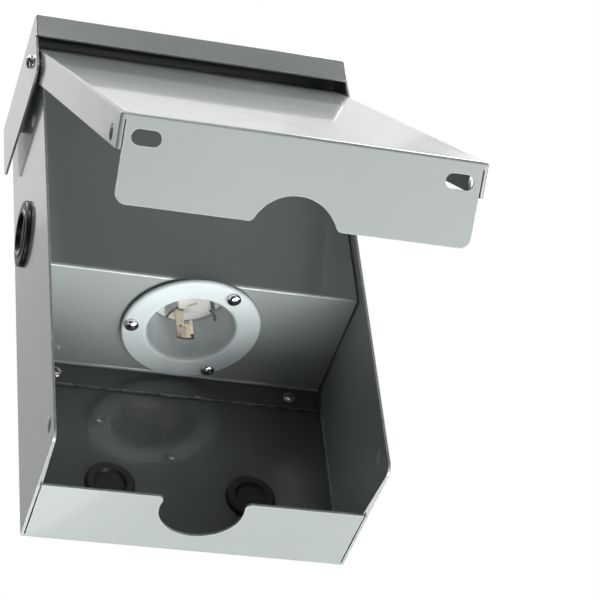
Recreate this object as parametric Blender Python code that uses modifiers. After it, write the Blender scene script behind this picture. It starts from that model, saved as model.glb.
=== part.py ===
"""Outdoor generator inlet box: a folded sheet-metal case with a hinged front lid under a fixed hood.

The box hangs on a wall by its back. +Z is up, the lid faces -Y and the back wall's outer face lies in
the XZ plane. A sloping shelf inside carries a recessed locking inlet that faces down, so the cord
comes up through the notch in the bottom panel. The lid stands open at REST_ANGLE from closed.

Heights are measured from the bottom edge of the case. Every piece hangs from the "box_frame" empty,
which lowers them all so that the origin is the middle of the back wall.
"""
import math

import bmesh
import bpy
from mathutils import Matrix, Vector

MM = 0.001

# Case
SHEET = 1.2 * MM
GAP = 0.3 * MM                      # between pieces that touch
BEND = 2.0 * MM                     # outer radius of a sheet-metal bend
BEND_STEPS = 3
BOX_WIDTH = 160 * MM
BOX_DEPTH = 78 * MM
BOX_HEIGHT = 270.4 * MM               # bottom edge to the top of the hood
CASE_HEIGHT = BOX_HEIGHT - SHEET - GAP
MOUNT_HEIGHT = 135 * MM             # the origin, above the bottom edge
TOP_FLANGE = 12 * MM
BOTTOM_PANEL_DEPTH = 41.5 * MM
BOTTOM_SLIT = 0.8 * MM
CORNER_RADIUS = 5 * MM

# Hood
HOOD_WIDTH = 169 * MM
HOOD_DEPTH = 86.3 * MM
HOOD_FRONT_FLANGE = 16.4 * MM
HOOD_SIDE_FLANGE = 41.4 * MM
HOOD_TAPER = 62 * MM                # the side flanges rise over this length towards the wall
HOOD_RISE = 4.5 * MM
HOOD_REAR_RADIUS = 4 * MM

# Lid, described as it lies closed
PIVOT_Y = -72 * MM
PIVOT_HEIGHT = 248.5 * MM
REST_ANGLE = math.radians(37.5)
MAX_ANGLE = math.radians(72)
LID_WIDTH = 164.4 * MM
LID_FACE_Y = -79.7 * MM
LID_BOTTOM = -1.8 * MM
LID_TOP = 259.5 * MM
LID_SIDE_FLANGE = 16.2 * MM
LID_BOTTOM_FLANGE = 39 * MM
LID_FLANGE_HALF = 79.7 * MM
LID_SLIT = 0.7 * MM
LID_SLIT_START = 3.2 * MM
LID_SLOT_X = 70 * MM
LID_SLOT_SETBACK = 10 * MM
LID_SLOT_LENGTH = 13.2 * MM
LID_SLOT_WIDTH = 7 * MM
PIVOT_RADIUS = 1.92 * MM
PIVOT_HOLE = 2.0 * MM

# Cord notch, shared by the bottom panel and the lid's bottom flange
NOTCH_Y = -33.6 * MM
NOTCH_RADIUS = 20.4 * MM
NOTCH_FILLET = 3.2 * MM

# Catch dimples pressed out of the side walls
DIMPLE_RADIUS = 4.6 * MM
DIMPLE_HEIGHT = 0.8 * MM
CATCH = (-68.5 * MM, 14 * MM)       # y and height; the lid's catch holes drop over these
UPPER_DIMPLE = (-54.5 * MM, 224.5 * MM)
CATCH_HOLE = 3.9 * MM

# Inlet bracket
BRACKET_FRONT_Y = -71.5 * MM
BRACKET_TOP = 254.5 * MM
BRACKET_RETURN = 10 * MM
SHELF_FRONT = 110.3 * MM
SHELF_REAR = 107.8 * MM
REAR_FLANGE_BOTTOM = 93.8 * MM
REAR_FLANGE_Y = -(SHEET + GAP + SHEET)
FLANGE_SCREW = (61 * MM, 100 * MM)  # x and height
NUT_NOTCH_X = 73.4 * MM             # the top corners are cut away round the pivot nuts
NUT_NOTCH_BOTTOM = 243.6 * MM

# Inlet, measured along its own axis from the underside of the shelf, upwards
INLET_SETBACK = 31.8 * MM           # from the front bend, along the shelf
RING_RADIUS = 34.9 * MM
RING_ROUNDING = 0.9 * MM
MOUTH_RADIUS = 22.5 * MM
BASE_RADIUS = 19.9 * MM
CUP_OUTER = 23.8 * MM
GASKET_THICKNESS = 0.8 * MM
RING_THICKNESS = 2.2 * MM
RING_TOP = -(GAP + GASKET_THICKNESS + GAP)
RING_FACE = RING_TOP - RING_THICKNESS
BASE_FACE = 21.6 * MM
BASE_BACK = 31.4 * MM
CUP_BACK = 31.7 * MM
COVER_RADIUS = 21.5 * MM
COVER_BACK = 50 * MM
COVER_SCREW_CIRCLE = 9 * MM
TERMINAL_SETBACK = 4 * MM           # from the cover's side in to the terminals' seats
TERMINAL_HEIGHT = 9 * MM            # above the cover's front face
SCREW_CIRCLE = 30.3 * MM
RING_SCREW_ANGLES = (180, 60, -60)

# Marks on the base's face
WELL = (11 * MM, 268)               # circle and angle in degrees
WELL_RADIUS = 2.1 * MM
WELL_DEPTH = 5 * MM
BOSS_RADIUS = 3.4 * MM
BOSS_HEIGHT = 1.5 * MM
MARK_CIRCLE = 8.6 * MM
MARK_WIDTH = 1.0 * MM
MARK_DEPTH = 1.4 * MM
MARK_ENDS = (43, 77)                # degrees

# Blades
BLADES = (("blade_ground", 87), ("blade_hot", 207), ("blade_neutral", 327))
BLADE_CIRCLE = 12.5 * MM
BLADE_THICKNESS = 1.5 * MM
BLADE_TIP = 2.5 * MM
BLADE_ROOT = 30.5 * MM
BLADE_SPAN = math.radians(42)
BLADE_COLUMNS = 8
BLADE_ROWS = 3
BLADE_ROOM = 0.35 * MM              # round a blade in its slot
GROUND_HOOK = 2.6 * MM

# Closures and fixings
SIDE_PLUG = (-27.2 * MM, 168.8 * MM)    # y and height, left wall
BACK_PLUG_X = 35.5 * MM
BACK_PLUG_HEIGHT = 34.8 * MM
SIDE_PLUG_SIZE = (17.1 * MM, 14 * MM, 2.6 * MM, 6 * MM)         # lip, hole, height, depth
BACK_PLUG_SIZE = (12.5 * MM, 10.6 * MM, 2.2 * MM, 1.2 * MM)
MOUNT_HOLE_X = 58 * MM
MOUNT_HOLE_HEIGHTS = (128 * MM, 238 * MM)
MOUNT_HOLE_RADIUS = 3.3 * MM
GROUND_SCREW = (45 * MM, 205 * MM)      # x and height, back wall

# Screws: head radius, head height, shank radius
RING_SCREW_SIZE = (3.6 * MM, 2.5 * MM, 1.75 * MM)
RING_SCREW_LENGTH = 9 * MM
BRACKET_SCREW_SIZE = (3.3 * MM, 2.0 * MM, 1.75 * MM)
GROUND_SCREW_SIZE = (4.6 * MM, 3.2 * MM, 1.85 * MM)
TERMINAL_SCREW_SIZE = (3.4 * MM, 2.0 * MM, 1.7 * MM)
TERMINAL_SCREW_LENGTH = 4.5 * MM
COVER_SCREW_SIZE = (3.0 * MM, 1.8 * MM, 1.6 * MM)
COVER_SCREW_LENGTH = 7 * MM
PIVOT_SCREW_SIZE = (3.6 * MM, 2.2 * MM, PIVOT_RADIUS)
PIVOT_SCREW_END = 4.2 * MM          # past the wall's inside, through the nut
NUT_CORNER = 3.6 * MM
NUT_HEIGHT = 3.0 * MM
WASHER_RADIUS = 4.4 * MM
WASHER_HEIGHT = 0.4 * MM
SCREW_HOLE = 2.1 * MM
SMALL_HOLE = 2.0 * MM
THROUGH = 6 * MM                    # a hole cutter's length, well past the sheet

HALF = BOX_WIDTH / 2
SLOPE = math.atan2(SHELF_FRONT - SHELF_REAR, REAR_FLANGE_Y - BRACKET_FRONT_Y)

parts = None
cutters = None
box_frame = None


def clear_scene():
    for obj in list(bpy.data.objects):
        bpy.data.objects.remove(obj, do_unlink=True)


def new_collection(name):
    collection = bpy.data.collections.new(name)
    bpy.context.scene.collection.children.link(collection)
    return collection


def new_empty(name, location, parent=None, rotation=(0, 0, 0)):
    empty = bpy.data.objects.new(name, None)
    parts.objects.link(empty)
    empty.location = location
    empty.rotation_euler = rotation
    empty.parent = parent
    empty.empty_display_size = 0.02
    return empty


def make_material(name, color, roughness, metallic=0.0):
    material = bpy.data.materials.new(name)
    material.use_nodes = True
    shader = material.node_tree.nodes["Principled BSDF"]
    shader.inputs["Base Color"].default_value = (*color, 1.0)
    shader.inputs["Roughness"].default_value = roughness
    shader.inputs["Metallic"].default_value = metallic
    material.diffuse_color = (*color, 1.0)
    return material


def finish_mesh(name, bm, parent, material=None, location=(0, 0, 0), rotation=(0, 0, 0), smooth=True):
    """Turns a bmesh into an object; without a material it is a cutter."""
    mesh = bpy.data.meshes.new(name)
    bm.to_mesh(mesh)
    bm.free()
    if smooth:
        mesh.shade_smooth()
        mesh.set_sharp_from_angle(angle=math.radians(30))
    obj = bpy.data.objects.new(name, mesh)
    obj.parent = parent
    obj.location = location
    obj.rotation_euler = rotation
    if material:
        mesh.materials.append(material)
        parts.objects.link(obj)
    else:
        cutters.objects.link(obj)
        obj.hide_render = True
        obj.display_type = "WIRE"
    return obj


def boolean(target, tool, operation="DIFFERENCE"):
    modifier = target.modifiers.new(operation.lower(), "BOOLEAN")
    modifier.operation = operation
    modifier.object = tool
    modifier.solver = "EXACT"


def solidify(obj, thickness=SHEET, offset=-1.0):
    modifier = obj.modifiers.new("thickness", "SOLIDIFY")
    modifier.thickness = thickness
    modifier.offset = offset
    modifier.use_even_offset = True


# Shapes

def box_mesh(low, high):
    bm = bmesh.new()
    bmesh.ops.create_cube(bm, size=1.0)
    bmesh.ops.scale(bm, vec=Vector(high) - Vector(low), verts=bm.verts)
    bmesh.ops.translate(bm, vec=(Vector(high) + Vector(low)) / 2, verts=bm.verts)
    return bm


def box_cutter(name, low, high, parent):
    return finish_mesh(name, box_mesh(low, high), parent, smooth=False)


def drill(name, target, centre, radius, length, axis, parent, segments=32):
    """Cuts a round hole of the given length, centred on a point, along X, Y or Z."""
    bm = bmesh.new()
    bmesh.ops.create_cone(bm, cap_ends=True, segments=segments, radius1=radius, radius2=radius, depth=length)
    turns = {"X": (0, math.pi / 2, 0), "Y": (math.pi / 2, 0, 0), "Z": (0, 0, 0)}
    tool = finish_mesh(name, bm, parent, location=centre, rotation=turns[axis])
    boolean(target, tool)


def turned(name, profile, parent, material=None, location=(0, 0, 0), rotation=(0, 0, 0), segments=48):
    """A solid of revolution about its own Z; the profile runs down its outer side, top to bottom."""
    bm = bmesh.new()
    points = [bm.verts.new((radius, 0, height)) for radius, height in profile]
    for first, second in zip(points, points[1:]):
        bm.edges.new((first, second))
    if profile[0][0] > 0:
        bm.edges.new((points[-1], points[0]))
    obj = finish_mesh(name, bm, parent, material, location, rotation, smooth=False)
    screw = obj.modifiers.new("turn", "SCREW")
    screw.steps = segments
    screw.render_steps = segments
    screw.use_merge_vertices = True
    screw.merge_threshold = 0.00001
    screw.use_smooth_shade = True
    return obj


def prism(name, outline, low, high, parent, material=None, axis="Z", location=(0, 0, 0), rotation=(0, 0, 0)):
    """A flat outline given thickness along an axis. On X the outline's pairs are (y, z)."""
    curve = bpy.data.curves.new(name, "CURVE")
    curve.dimensions = "2D"
    curve.fill_mode = "BOTH"
    curve.extrude = (high - low) / 2
    spline = curve.splines.new("POLY")
    spline.points.add(len(outline) - 1)
    for point, (u, v) in zip(spline.points, outline):
        point.co = (u, v, 0, 1)
    spline.use_cyclic_u = True
    flat = bpy.data.objects.new(name + "_outline", curve)
    cutters.objects.link(flat)
    bpy.context.view_layer.update()
    mesh = bpy.data.meshes.new_from_object(flat.evaluated_get(bpy.context.evaluated_depsgraph_get()))
    bpy.data.objects.remove(flat)
    bm = bmesh.new()
    bm.from_mesh(mesh)
    bpy.data.meshes.remove(mesh)
    bmesh.ops.remove_doubles(bm, verts=bm.verts, dist=0.000001)
    bmesh.ops.translate(bm, vec=(0, 0, (high + low) / 2), verts=bm.verts)
    if axis == "X":
        bmesh.ops.transform(bm, matrix=Matrix(((0, 0, 1), (1, 0, 0), (0, 1, 0))).to_4x4(), verts=bm.verts)
    bmesh.ops.recalc_face_normals(bm, faces=bm.faces)
    return finish_mesh(name, bm, parent, material, location, rotation)


def arc(centre, radius, start, end, steps):
    """Points along an arc; the angles are in radians."""
    turns = [start + (end - start) * step / steps for step in range(steps + 1)]
    return [(centre[0] + radius * math.cos(turn), centre[1] + radius * math.sin(turn)) for turn in turns]


def slot_outline(centre, length, width):
    reach = (length - width) / 2
    right = arc((centre[0] + reach, centre[1]), width / 2, -math.pi / 2, math.pi / 2, 8)
    left = arc((centre[0] - reach, centre[1]), width / 2, math.pi / 2, 3 * math.pi / 2, 8)
    return right + left


def notch_outline(edge_y, outward):
    """The cord notch, cut from an edge at edge_y; outward (1 or -1) is the way out of the sheet in Y."""
    edge = (edge_y - NOTCH_Y) * outward
    drop = edge - NOTCH_FILLET
    fillet_x = math.sqrt((NOTCH_RADIUS + NOTCH_FILLET) ** 2 - drop ** 2)
    touch = math.atan2(drop, fillet_x)
    half = [(fillet_x, edge + 6 * MM)]
    half += arc((fillet_x, drop), NOTCH_FILLET, math.pi / 2, math.pi + touch, 6)
    half += arc((0, 0), NOTCH_RADIUS, touch, -math.pi / 2, 16)[1:]
    whole = half + [(-x, v) for x, v in reversed(half[:-1])]
    return [(x, NOTCH_Y + v * outward) for x, v in whole]


def slice_faces(bm, point, normal):
    geometry = bm.verts[:] + bm.edges[:] + bm.faces[:]
    bmesh.ops.bisect_plane(bm, geom=geometry, dist=0.000001, plane_co=point, plane_no=normal)


def drop_faces(bm, unwanted):
    faces = [face for face in bm.faces if unwanted(face.normal, face.calc_center_median())]
    bmesh.ops.delete(bm, geom=faces, context="FACES")


def fold_edges(bm, keep_sharp=None):
    """Joins coplanar faces, then rounds the folds between the ones left."""
    bmesh.ops.dissolve_limit(bm, angle_limit=0.01, verts=bm.verts, edges=bm.edges)
    folds = []
    for edge in bm.edges:
        if len(edge.link_faces) != 2 or edge.calc_face_angle() < 0.05:
            continue
        if keep_sharp and keep_sharp((edge.verts[0].co + edge.verts[1].co) / 2):
            continue
        folds.append(edge)
    bmesh.ops.bevel(bm, geom=folds, offset=BEND, segments=BEND_STEPS, affect="EDGES", profile=0.5)


# Case and hood

def add_dimple(target, side, place, parent):
    """Presses a shallow round dimple outwards through a side wall; side is -1 or 1."""
    dome_radius = (DIMPLE_RADIUS ** 2 + DIMPLE_HEIGHT ** 2) / (2 * DIMPLE_HEIGHT)
    half_angle = math.asin(DIMPLE_RADIUS / dome_radius)
    cap = []
    for step in range(4):
        turn = half_angle * step / 3
        cap.append((dome_radius * math.sin(turn), DIMPLE_HEIGHT - dome_radius * (1 - math.cos(turn))))
    sunk = SHEET / 3
    profile = cap + [(DIMPLE_RADIUS, -sunk), (0, -sunk)]
    turn = (0, side * math.pi / 2, 0)
    name = f"dimple_{'left' if side < 0 else 'right'}_{round(place[1] / MM)}"
    bump = turned(name, profile, parent, None, (side * HALF, *place), turn, 18)
    boolean(target, bump, "UNION")
    dent = turned(name + "_dent", profile, parent, None, (side * (HALF - SHEET), *place), turn, 18)
    dent.scale = (0.9, 0.9, 1)
    boolean(target, dent)


def pivot_relief():
    """The front upper corner cut away from the walls, so that the top of the lid can swing in."""
    keep = PIVOT_Y + BOX_DEPTH
    centre = (PIVOT_Y, PIVOT_HEIGHT)
    swing = 13 * MM
    outline = [(-BOX_DEPTH - 5 * MM, PIVOT_HEIGHT)]
    outline += arc(centre, keep, math.pi, math.pi - MAX_ANGLE, 10)
    end_y = outline[-1][0] + swing * math.sin(MAX_ANGLE)
    end_z = outline[-1][1] + swing * math.cos(MAX_ANGLE)
    outline += [(end_y, end_z), (end_y, BOX_HEIGHT + 5 * MM), (-BOX_DEPTH - 5 * MM, BOX_HEIGHT + 5 * MM)]
    return outline


def corner_outline(y, z, reach_y, reach_z, radius):
    """The waste outside a rounded corner at (y, z) of a plate that runs off in reach_y and reach_z."""
    centre = (y + reach_y * radius, z + reach_z * radius)
    start = math.atan2(0, -reach_y)
    end = math.atan2(-reach_z, 0)
    if end - start > math.pi:
        end -= 2 * math.pi
    if start - end > math.pi:
        start -= 2 * math.pi
    outside = 3 * MM
    rounded = arc(centre, radius, start, end, 6)
    return rounded + [(centre[0], z - reach_z * outside), (y - reach_y * outside, z - reach_z * outside),
                      (y - reach_y * outside, centre[1])]


def make_case(paint):
    bm = box_mesh((-HALF, -BOX_DEPTH, 0), (HALF, 0, CASE_HEIGHT))
    opening = HALF - TOP_FLANGE
    slice_faces(bm, (0, -BOTTOM_PANEL_DEPTH, 0), (0, 1, 0))
    slice_faces(bm, (0, -TOP_FLANGE, 0), (0, 1, 0))
    slice_faces(bm, (opening, 0, 0), (1, 0, 0))
    slice_faces(bm, (-opening, 0, 0), (1, 0, 0))
    drop_faces(bm, lambda normal, centre: normal.y < -0.5)
    drop_faces(bm, lambda normal, centre: normal.z < -0.5 and centre.y < -BOTTOM_PANEL_DEPTH)
    drop_faces(bm, lambda normal, centre: normal.z > 0.5 and abs(centre.x) < opening
               and centre.y < -TOP_FLANGE)
    fold_edges(bm, keep_sharp=lambda middle: middle.z < 0.001 and abs(middle.x) > HALF - 0.001)
    case = finish_mesh("body_shell", bm, box_frame, paint)
    solidify(case)

    inside = HALF - SHEET
    for side in (-1, 1):
        slit = sorted((side * (inside - 0.1 * MM), side * (inside - 0.1 * MM - BOTTOM_SLIT)))
        low = (slit[0], -BOTTOM_PANEL_DEPTH - 2 * MM, -2 * MM)
        high = (slit[1], -BEND - 1 * MM, 2 * MM)
        boolean(case, box_cutter("bottom_slit", low, high, box_frame))
    boolean(case, prism("bottom_notch", notch_outline(-BOTTOM_PANEL_DEPTH, -1), -3 * MM, 3 * MM, box_frame))
    boolean(case, prism("pivot_relief", pivot_relief(), -HALF - 2 * MM, HALF + 2 * MM, box_frame, axis="X"))
    rounding = corner_outline(-BOX_DEPTH, 0, 1, 1, CORNER_RADIUS)
    for side in (-1, 1):
        wall = sorted((side * (HALF + 2 * MM), side * (inside - 2 * MM)))
        boolean(case, prism("wall_corner", rounding, wall[0], wall[1], box_frame, axis="X"))
        wall_x = side * (HALF - SHEET / 2)
        drill("pivot_hole", case, (wall_x, PIVOT_Y, PIVOT_HEIGHT), PIVOT_HOLE, THROUGH, "X", box_frame)
        add_dimple(case, side, CATCH, box_frame)
        add_dimple(case, side, UPPER_DIMPLE, box_frame)
        flange_hole = (side * FLANGE_SCREW[0], 0, FLANGE_SCREW[1])
        drill("flange_screw_hole", case, flange_hole, SMALL_HOLE, THROUGH, "Y", box_frame, 16)
        plug_hole = (side * BACK_PLUG_X, 0, BACK_PLUG_HEIGHT)
        drill("back_plug_hole", case, plug_hole, BACK_PLUG_SIZE[1], THROUGH, "Y", box_frame)
        for height in MOUNT_HOLE_HEIGHTS:
            spot = (side * MOUNT_HOLE_X, 0, height)
            drill("mount_hole", case, spot, MOUNT_HOLE_RADIUS, THROUGH, "Y", box_frame, 16)
    drill("side_plug_hole", case, (-HALF, *SIDE_PLUG), SIDE_PLUG_SIZE[1], THROUGH, "X", box_frame, 32)
    ground_hole = (GROUND_SCREW[0], 0, GROUND_SCREW[1])
    drill("ground_screw_hole", case, ground_hole, SCREW_HOLE, THROUGH, "Y", box_frame, 16)


def hood_taper_outline():
    """The waste below a side flange's rising rear part and outside its rounded rear corner."""
    bottom = BOX_HEIGHT - HOOD_SIDE_FLANGE
    centre = (-HOOD_REAR_RADIUS, bottom + HOOD_RISE + HOOD_REAR_RADIUS)
    outside = 3 * MM
    outline = [(-HOOD_TAPER, bottom)] + arc(centre, HOOD_REAR_RADIUS, -math.pi / 2, 0, 6)
    return outline + [(outside, centre[1]), (outside, bottom - outside), (-HOOD_TAPER, bottom - outside)]


def make_hood(paint):
    half = HOOD_WIDTH / 2
    bm = box_mesh((-half, -HOOD_DEPTH, BOX_HEIGHT - HOOD_SIDE_FLANGE), (half, 0, BOX_HEIGHT))
    front_edge = BOX_HEIGHT - HOOD_FRONT_FLANGE
    slice_faces(bm, (0, 0, front_edge), (0, 0, 1))
    drop_faces(bm, lambda normal, centre: normal.y > 0.5 or normal.z < -0.5)
    drop_faces(bm, lambda normal, centre: normal.y < -0.5 and centre.z < front_edge)
    fold_edges(bm)
    hood = finish_mesh("top_hood", bm, box_frame, paint)
    solidify(hood)
    rounding = corner_outline(-HOOD_DEPTH, BOX_HEIGHT - HOOD_SIDE_FLANGE, 1, 1, CORNER_RADIUS)
    for side in (-1, 1):
        wall = sorted((side * (half + 2 * MM), side * (half - 4 * MM)))
        boolean(hood, prism("hood_corner", rounding, wall[0], wall[1], box_frame, axis="X"))
        boolean(hood, prism("hood_taper", hood_taper_outline(), wall[0], wall[1], box_frame, axis="X"))
        spot = (side * half, PIVOT_Y, PIVOT_HEIGHT)
        drill("hood_pivot_hole", hood, spot, PIVOT_HOLE, THROUGH, "X", box_frame)


# Lid

def lid_trim_outline(side):
    """The waste beside the lid's bottom flange: the slit, the step behind it and the rounded corner."""
    edge = LID_FLANGE_HALF
    slit_end = LID_FACE_Y + LID_SLIT_START
    step = LID_FACE_Y + LID_SIDE_FLANGE - 0.1 * MM
    rear = LID_FACE_Y + LID_BOTTOM_FLANGE
    corner = (edge - CORNER_RADIUS, rear - CORNER_RADIUS)
    outline = [(edge + 8 * MM, step), (edge + LID_SLIT, step), (edge + LID_SLIT, slit_end), (edge, slit_end)]
    outline += arc(corner, CORNER_RADIUS, 0, math.pi / 2, 6)
    outline += [(corner[0], rear + 4 * MM), (edge + 8 * MM, rear + 4 * MM)]
    return [(side * x, y) for x, y in outline]


def make_lid(paint):
    hinge = new_empty("lid_axis", (0, PIVOT_Y, PIVOT_HEIGHT), box_frame, (-REST_ANGLE, 0, 0))
    closed = new_empty("lid_closed_frame", (0, -PIVOT_Y, -PIVOT_HEIGHT), hinge)
    half = LID_WIDTH / 2
    bm = box_mesh((-half, LID_FACE_Y, LID_BOTTOM), (half, LID_FACE_Y + LID_BOTTOM_FLANGE, LID_TOP))
    side_end = LID_FACE_Y + LID_SIDE_FLANGE
    slice_faces(bm, (0, side_end, 0), (0, 1, 0))
    drop_faces(bm, lambda normal, centre: normal.y > 0.5 or normal.z > 0.5)
    drop_faces(bm, lambda normal, centre: abs(normal.x) > 0.5 and centre.y > side_end)
    fold_edges(bm)
    lid = finish_mesh("lid", bm, closed, paint)
    solidify(lid)
    thin = (LID_BOTTOM - 2 * MM, LID_BOTTOM + 2.4 * MM)
    for side in (-1, 1):
        boolean(lid, prism("lid_trim", lid_trim_outline(side), *thin, closed))
        centre = (side * LID_SLOT_X, LID_FACE_Y + LID_SLOT_SETBACK)
        slot = slot_outline(centre, LID_SLOT_LENGTH, LID_SLOT_WIDTH)
        boolean(lid, prism("lid_slot", slot, *thin, closed))
        pivot = (side * half, PIVOT_Y, PIVOT_HEIGHT)
        drill("lid_pivot_hole", lid, pivot, PIVOT_HOLE, THROUGH, "X", closed)
        drill("catch_hole", lid, (side * half, *CATCH), CATCH_HOLE, THROUGH, "X", closed)
    rear = LID_FACE_Y + LID_BOTTOM_FLANGE
    boolean(lid, prism("lid_notch", notch_outline(rear, 1), *thin, closed))
    return lid


# Inlet bracket

def make_bracket(paint, inlet_axis):
    half = HALF - SHEET - GAP
    profile = [(BRACKET_FRONT_Y + BRACKET_RETURN, BRACKET_TOP), (BRACKET_FRONT_Y, BRACKET_TOP),
               (BRACKET_FRONT_Y, SHELF_FRONT), (REAR_FLANGE_Y, SHELF_REAR),
               (REAR_FLANGE_Y, REAR_FLANGE_BOTTOM)]
    bm = bmesh.new()
    left = [bm.verts.new((-half, y, z)) for y, z in profile]
    for first, second in zip(left, left[1:]):
        bm.edges.new((first, second))
    swept = bmesh.ops.extrude_edge_only(bm, edges=bm.edges[:])
    moved = [item for item in swept["geom"] if isinstance(item, bmesh.types.BMVert)]
    bmesh.ops.translate(bm, vec=(2 * half, 0, 0), verts=moved)
    bmesh.ops.recalc_face_normals(bm, faces=bm.faces)
    bm.faces.ensure_lookup_table()
    panel = max(bm.faces, key=lambda face: face.calc_area())
    if panel.normal.y > 0:
        bmesh.ops.reverse_faces(bm, faces=bm.faces)
    fold_edges(bm)
    bracket = finish_mesh("inlet_bracket", bm, box_frame, paint)
    solidify(bracket)
    drill("inlet_hole", bracket, (0, 0, 0), CUP_OUTER + 0.6 * MM, 10 * MM, "Z", inlet_axis, 40)
    for angle in RING_SCREW_ANGLES:
        spot = on_circle(SCREW_CIRCLE, angle, 0)
        drill("ring_screw_hole", bracket, spot, SMALL_HOLE, THROUGH, "Z", inlet_axis, 16)
    past = 5 * MM
    for side in (-1, 1):
        spot = (side * FLANGE_SCREW[0], REAR_FLANGE_Y, FLANGE_SCREW[1])
        drill("bracket_screw_hole", bracket, spot, SMALL_HOLE, THROUGH, "Y", box_frame, 16)
        reach = sorted((side * NUT_NOTCH_X, side * (half + past)))
        low = (reach[0], BRACKET_FRONT_Y - past, NUT_NOTCH_BOTTOM)
        high = (reach[1], BRACKET_FRONT_Y + BRACKET_RETURN + past, BRACKET_TOP + past)
        boolean(bracket, box_cutter("nut_notch", low, high, box_frame))


def on_circle(radius, degrees, height):
    turn = math.radians(degrees)
    return (radius * math.cos(turn), radius * math.sin(turn), height)


# Inlet: its local +Z points up into the wiring space, and its mouth faces down

def make_ring_and_cup(nylon, axis):
    rounded = RING_ROUNDING
    profile = [(RING_RADIUS - 0.3 * MM, RING_TOP), (RING_RADIUS, RING_TOP - 0.3 * MM),
               (RING_RADIUS, RING_FACE + rounded), (RING_RADIUS - 0.3 * rounded, RING_FACE + 0.3 * rounded),
               (RING_RADIUS - rounded, RING_FACE), (MOUTH_RADIUS + rounded, RING_FACE),
               (MOUTH_RADIUS + 0.3 * rounded, RING_FACE + 0.3 * rounded), (MOUTH_RADIUS, RING_FACE + rounded),
               (BASE_RADIUS + GAP, BASE_FACE - 1 * MM), (BASE_RADIUS + GAP, CUP_BACK),
               (CUP_OUTER - 0.4 * MM, CUP_BACK), (CUP_OUTER, RING_TOP)]
    cup = turned("inlet_housing", profile, axis, nylon, segments=48)
    for angle in RING_SCREW_ANGLES:
        spot = on_circle(SCREW_CIRCLE, angle, RING_FACE)
        drill("ring_hole", cup, spot, SCREW_HOLE, 2 * THROUGH, "Z", axis, 16)


def make_gasket(rubber, axis):
    low = RING_TOP + GAP
    high = low + GASKET_THICKNESS
    inner = CUP_OUTER + 0.5 * MM
    outer = RING_RADIUS - 0.4 * MM
    gasket = turned("inlet_gasket", [(outer, high), (outer, low), (inner, low), (inner, high)], axis, rubber,
                    segments=48)
    for angle in RING_SCREW_ANGLES:
        spot = on_circle(SCREW_CIRCLE, angle, low)
        drill("gasket_hole", gasket, spot, SCREW_HOLE, THROUGH, "Z", axis, 16)


def wrapped_sheet(name, radius, start, end, low, high, thickness, axis, material=None, columns=8, rows=1,
                  keep=None):
    """A sheet wrapped round the inlet's axis: a flat grid, trimmed by keep, bent to a radius."""
    bm = bmesh.new()
    bmesh.ops.create_grid(bm, x_segments=columns, y_segments=rows, size=0.5)
    if keep:
        spare = [face for face in bm.faces if not keep(face.calc_center_median())]
        bmesh.ops.delete(bm, geom=spare, context="FACES")
    for vert in bm.verts:
        turn = start + (end - start) * (vert.co.x + 0.5)
        height = low + (high - low) * (vert.co.y + 0.5)
        vert.co = (radius * math.cos(turn), radius * math.sin(turn), height)
    sheet = finish_mesh(name, bm, axis, material)
    solidify(sheet, thickness, 0.0)
    return sheet


def make_blade(name, degrees, metal, axis):
    """A locking blade: a narrow neck up to the base and a wide tip. The neck is its anticlockwise half."""
    centre = math.radians(degrees)
    start = centre - BLADE_SPAN / 2
    end = centre + BLADE_SPAN / 2
    tip_row = -0.5 + 1 / BLADE_ROWS
    return wrapped_sheet(name, BLADE_CIRCLE, start, end, BLADE_TIP, BLADE_ROOT, BLADE_THICKNESS, axis, metal,
                         BLADE_COLUMNS, BLADE_ROWS, lambda spot: spot.y < tip_row or spot.x > 0)


def cut_blade_slot(base, degrees, axis):
    centre = math.radians(degrees)
    spare = BLADE_ROOM / BLADE_CIRCLE
    tool = wrapped_sheet("blade_slot", BLADE_CIRCLE, centre - spare, centre + BLADE_SPAN / 2 + spare,
                         BASE_FACE - 2 * MM, BASE_BACK + 2 * MM, BLADE_THICKNESS + 2 * BLADE_ROOM, axis)
    boolean(base, tool)


def make_base(ceramic, axis):
    soft = 0.5 * MM
    profile = [(0, BASE_BACK), (BASE_RADIUS, BASE_BACK), (BASE_RADIUS, BASE_FACE + soft),
               (BASE_RADIUS - soft, BASE_FACE), (0, BASE_FACE)]
    base = turned("inlet_base", profile, axis, ceramic, segments=40)
    boss = [(0, BOSS_HEIGHT), (BOSS_RADIUS, BOSS_HEIGHT), (BOSS_RADIUS, -BOSS_HEIGHT), (0, -BOSS_HEIGHT)]
    spot = on_circle(*WELL, BASE_FACE)
    boolean(base, turned("base_boss", boss, axis, None, spot, segments=20), "UNION")
    spot = on_circle(*WELL, BASE_FACE - BOSS_HEIGHT)
    drill("base_well", base, spot, WELL_RADIUS, 2 * WELL_DEPTH, "Z", axis, 16)
    first, last = (math.radians(degrees) for degrees in MARK_ENDS)
    mark = arc((0, 0), MARK_CIRCLE + MARK_WIDTH / 2, first, last, 6)
    mark += arc((0, 0), MARK_CIRCLE - MARK_WIDTH / 2, last, first, 6)
    boolean(base, prism("base_mark", mark, BASE_FACE - MARK_DEPTH, BASE_FACE + MARK_DEPTH, axis))
    for _, degrees in BLADES:
        cut_blade_slot(base, degrees, axis)


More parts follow.
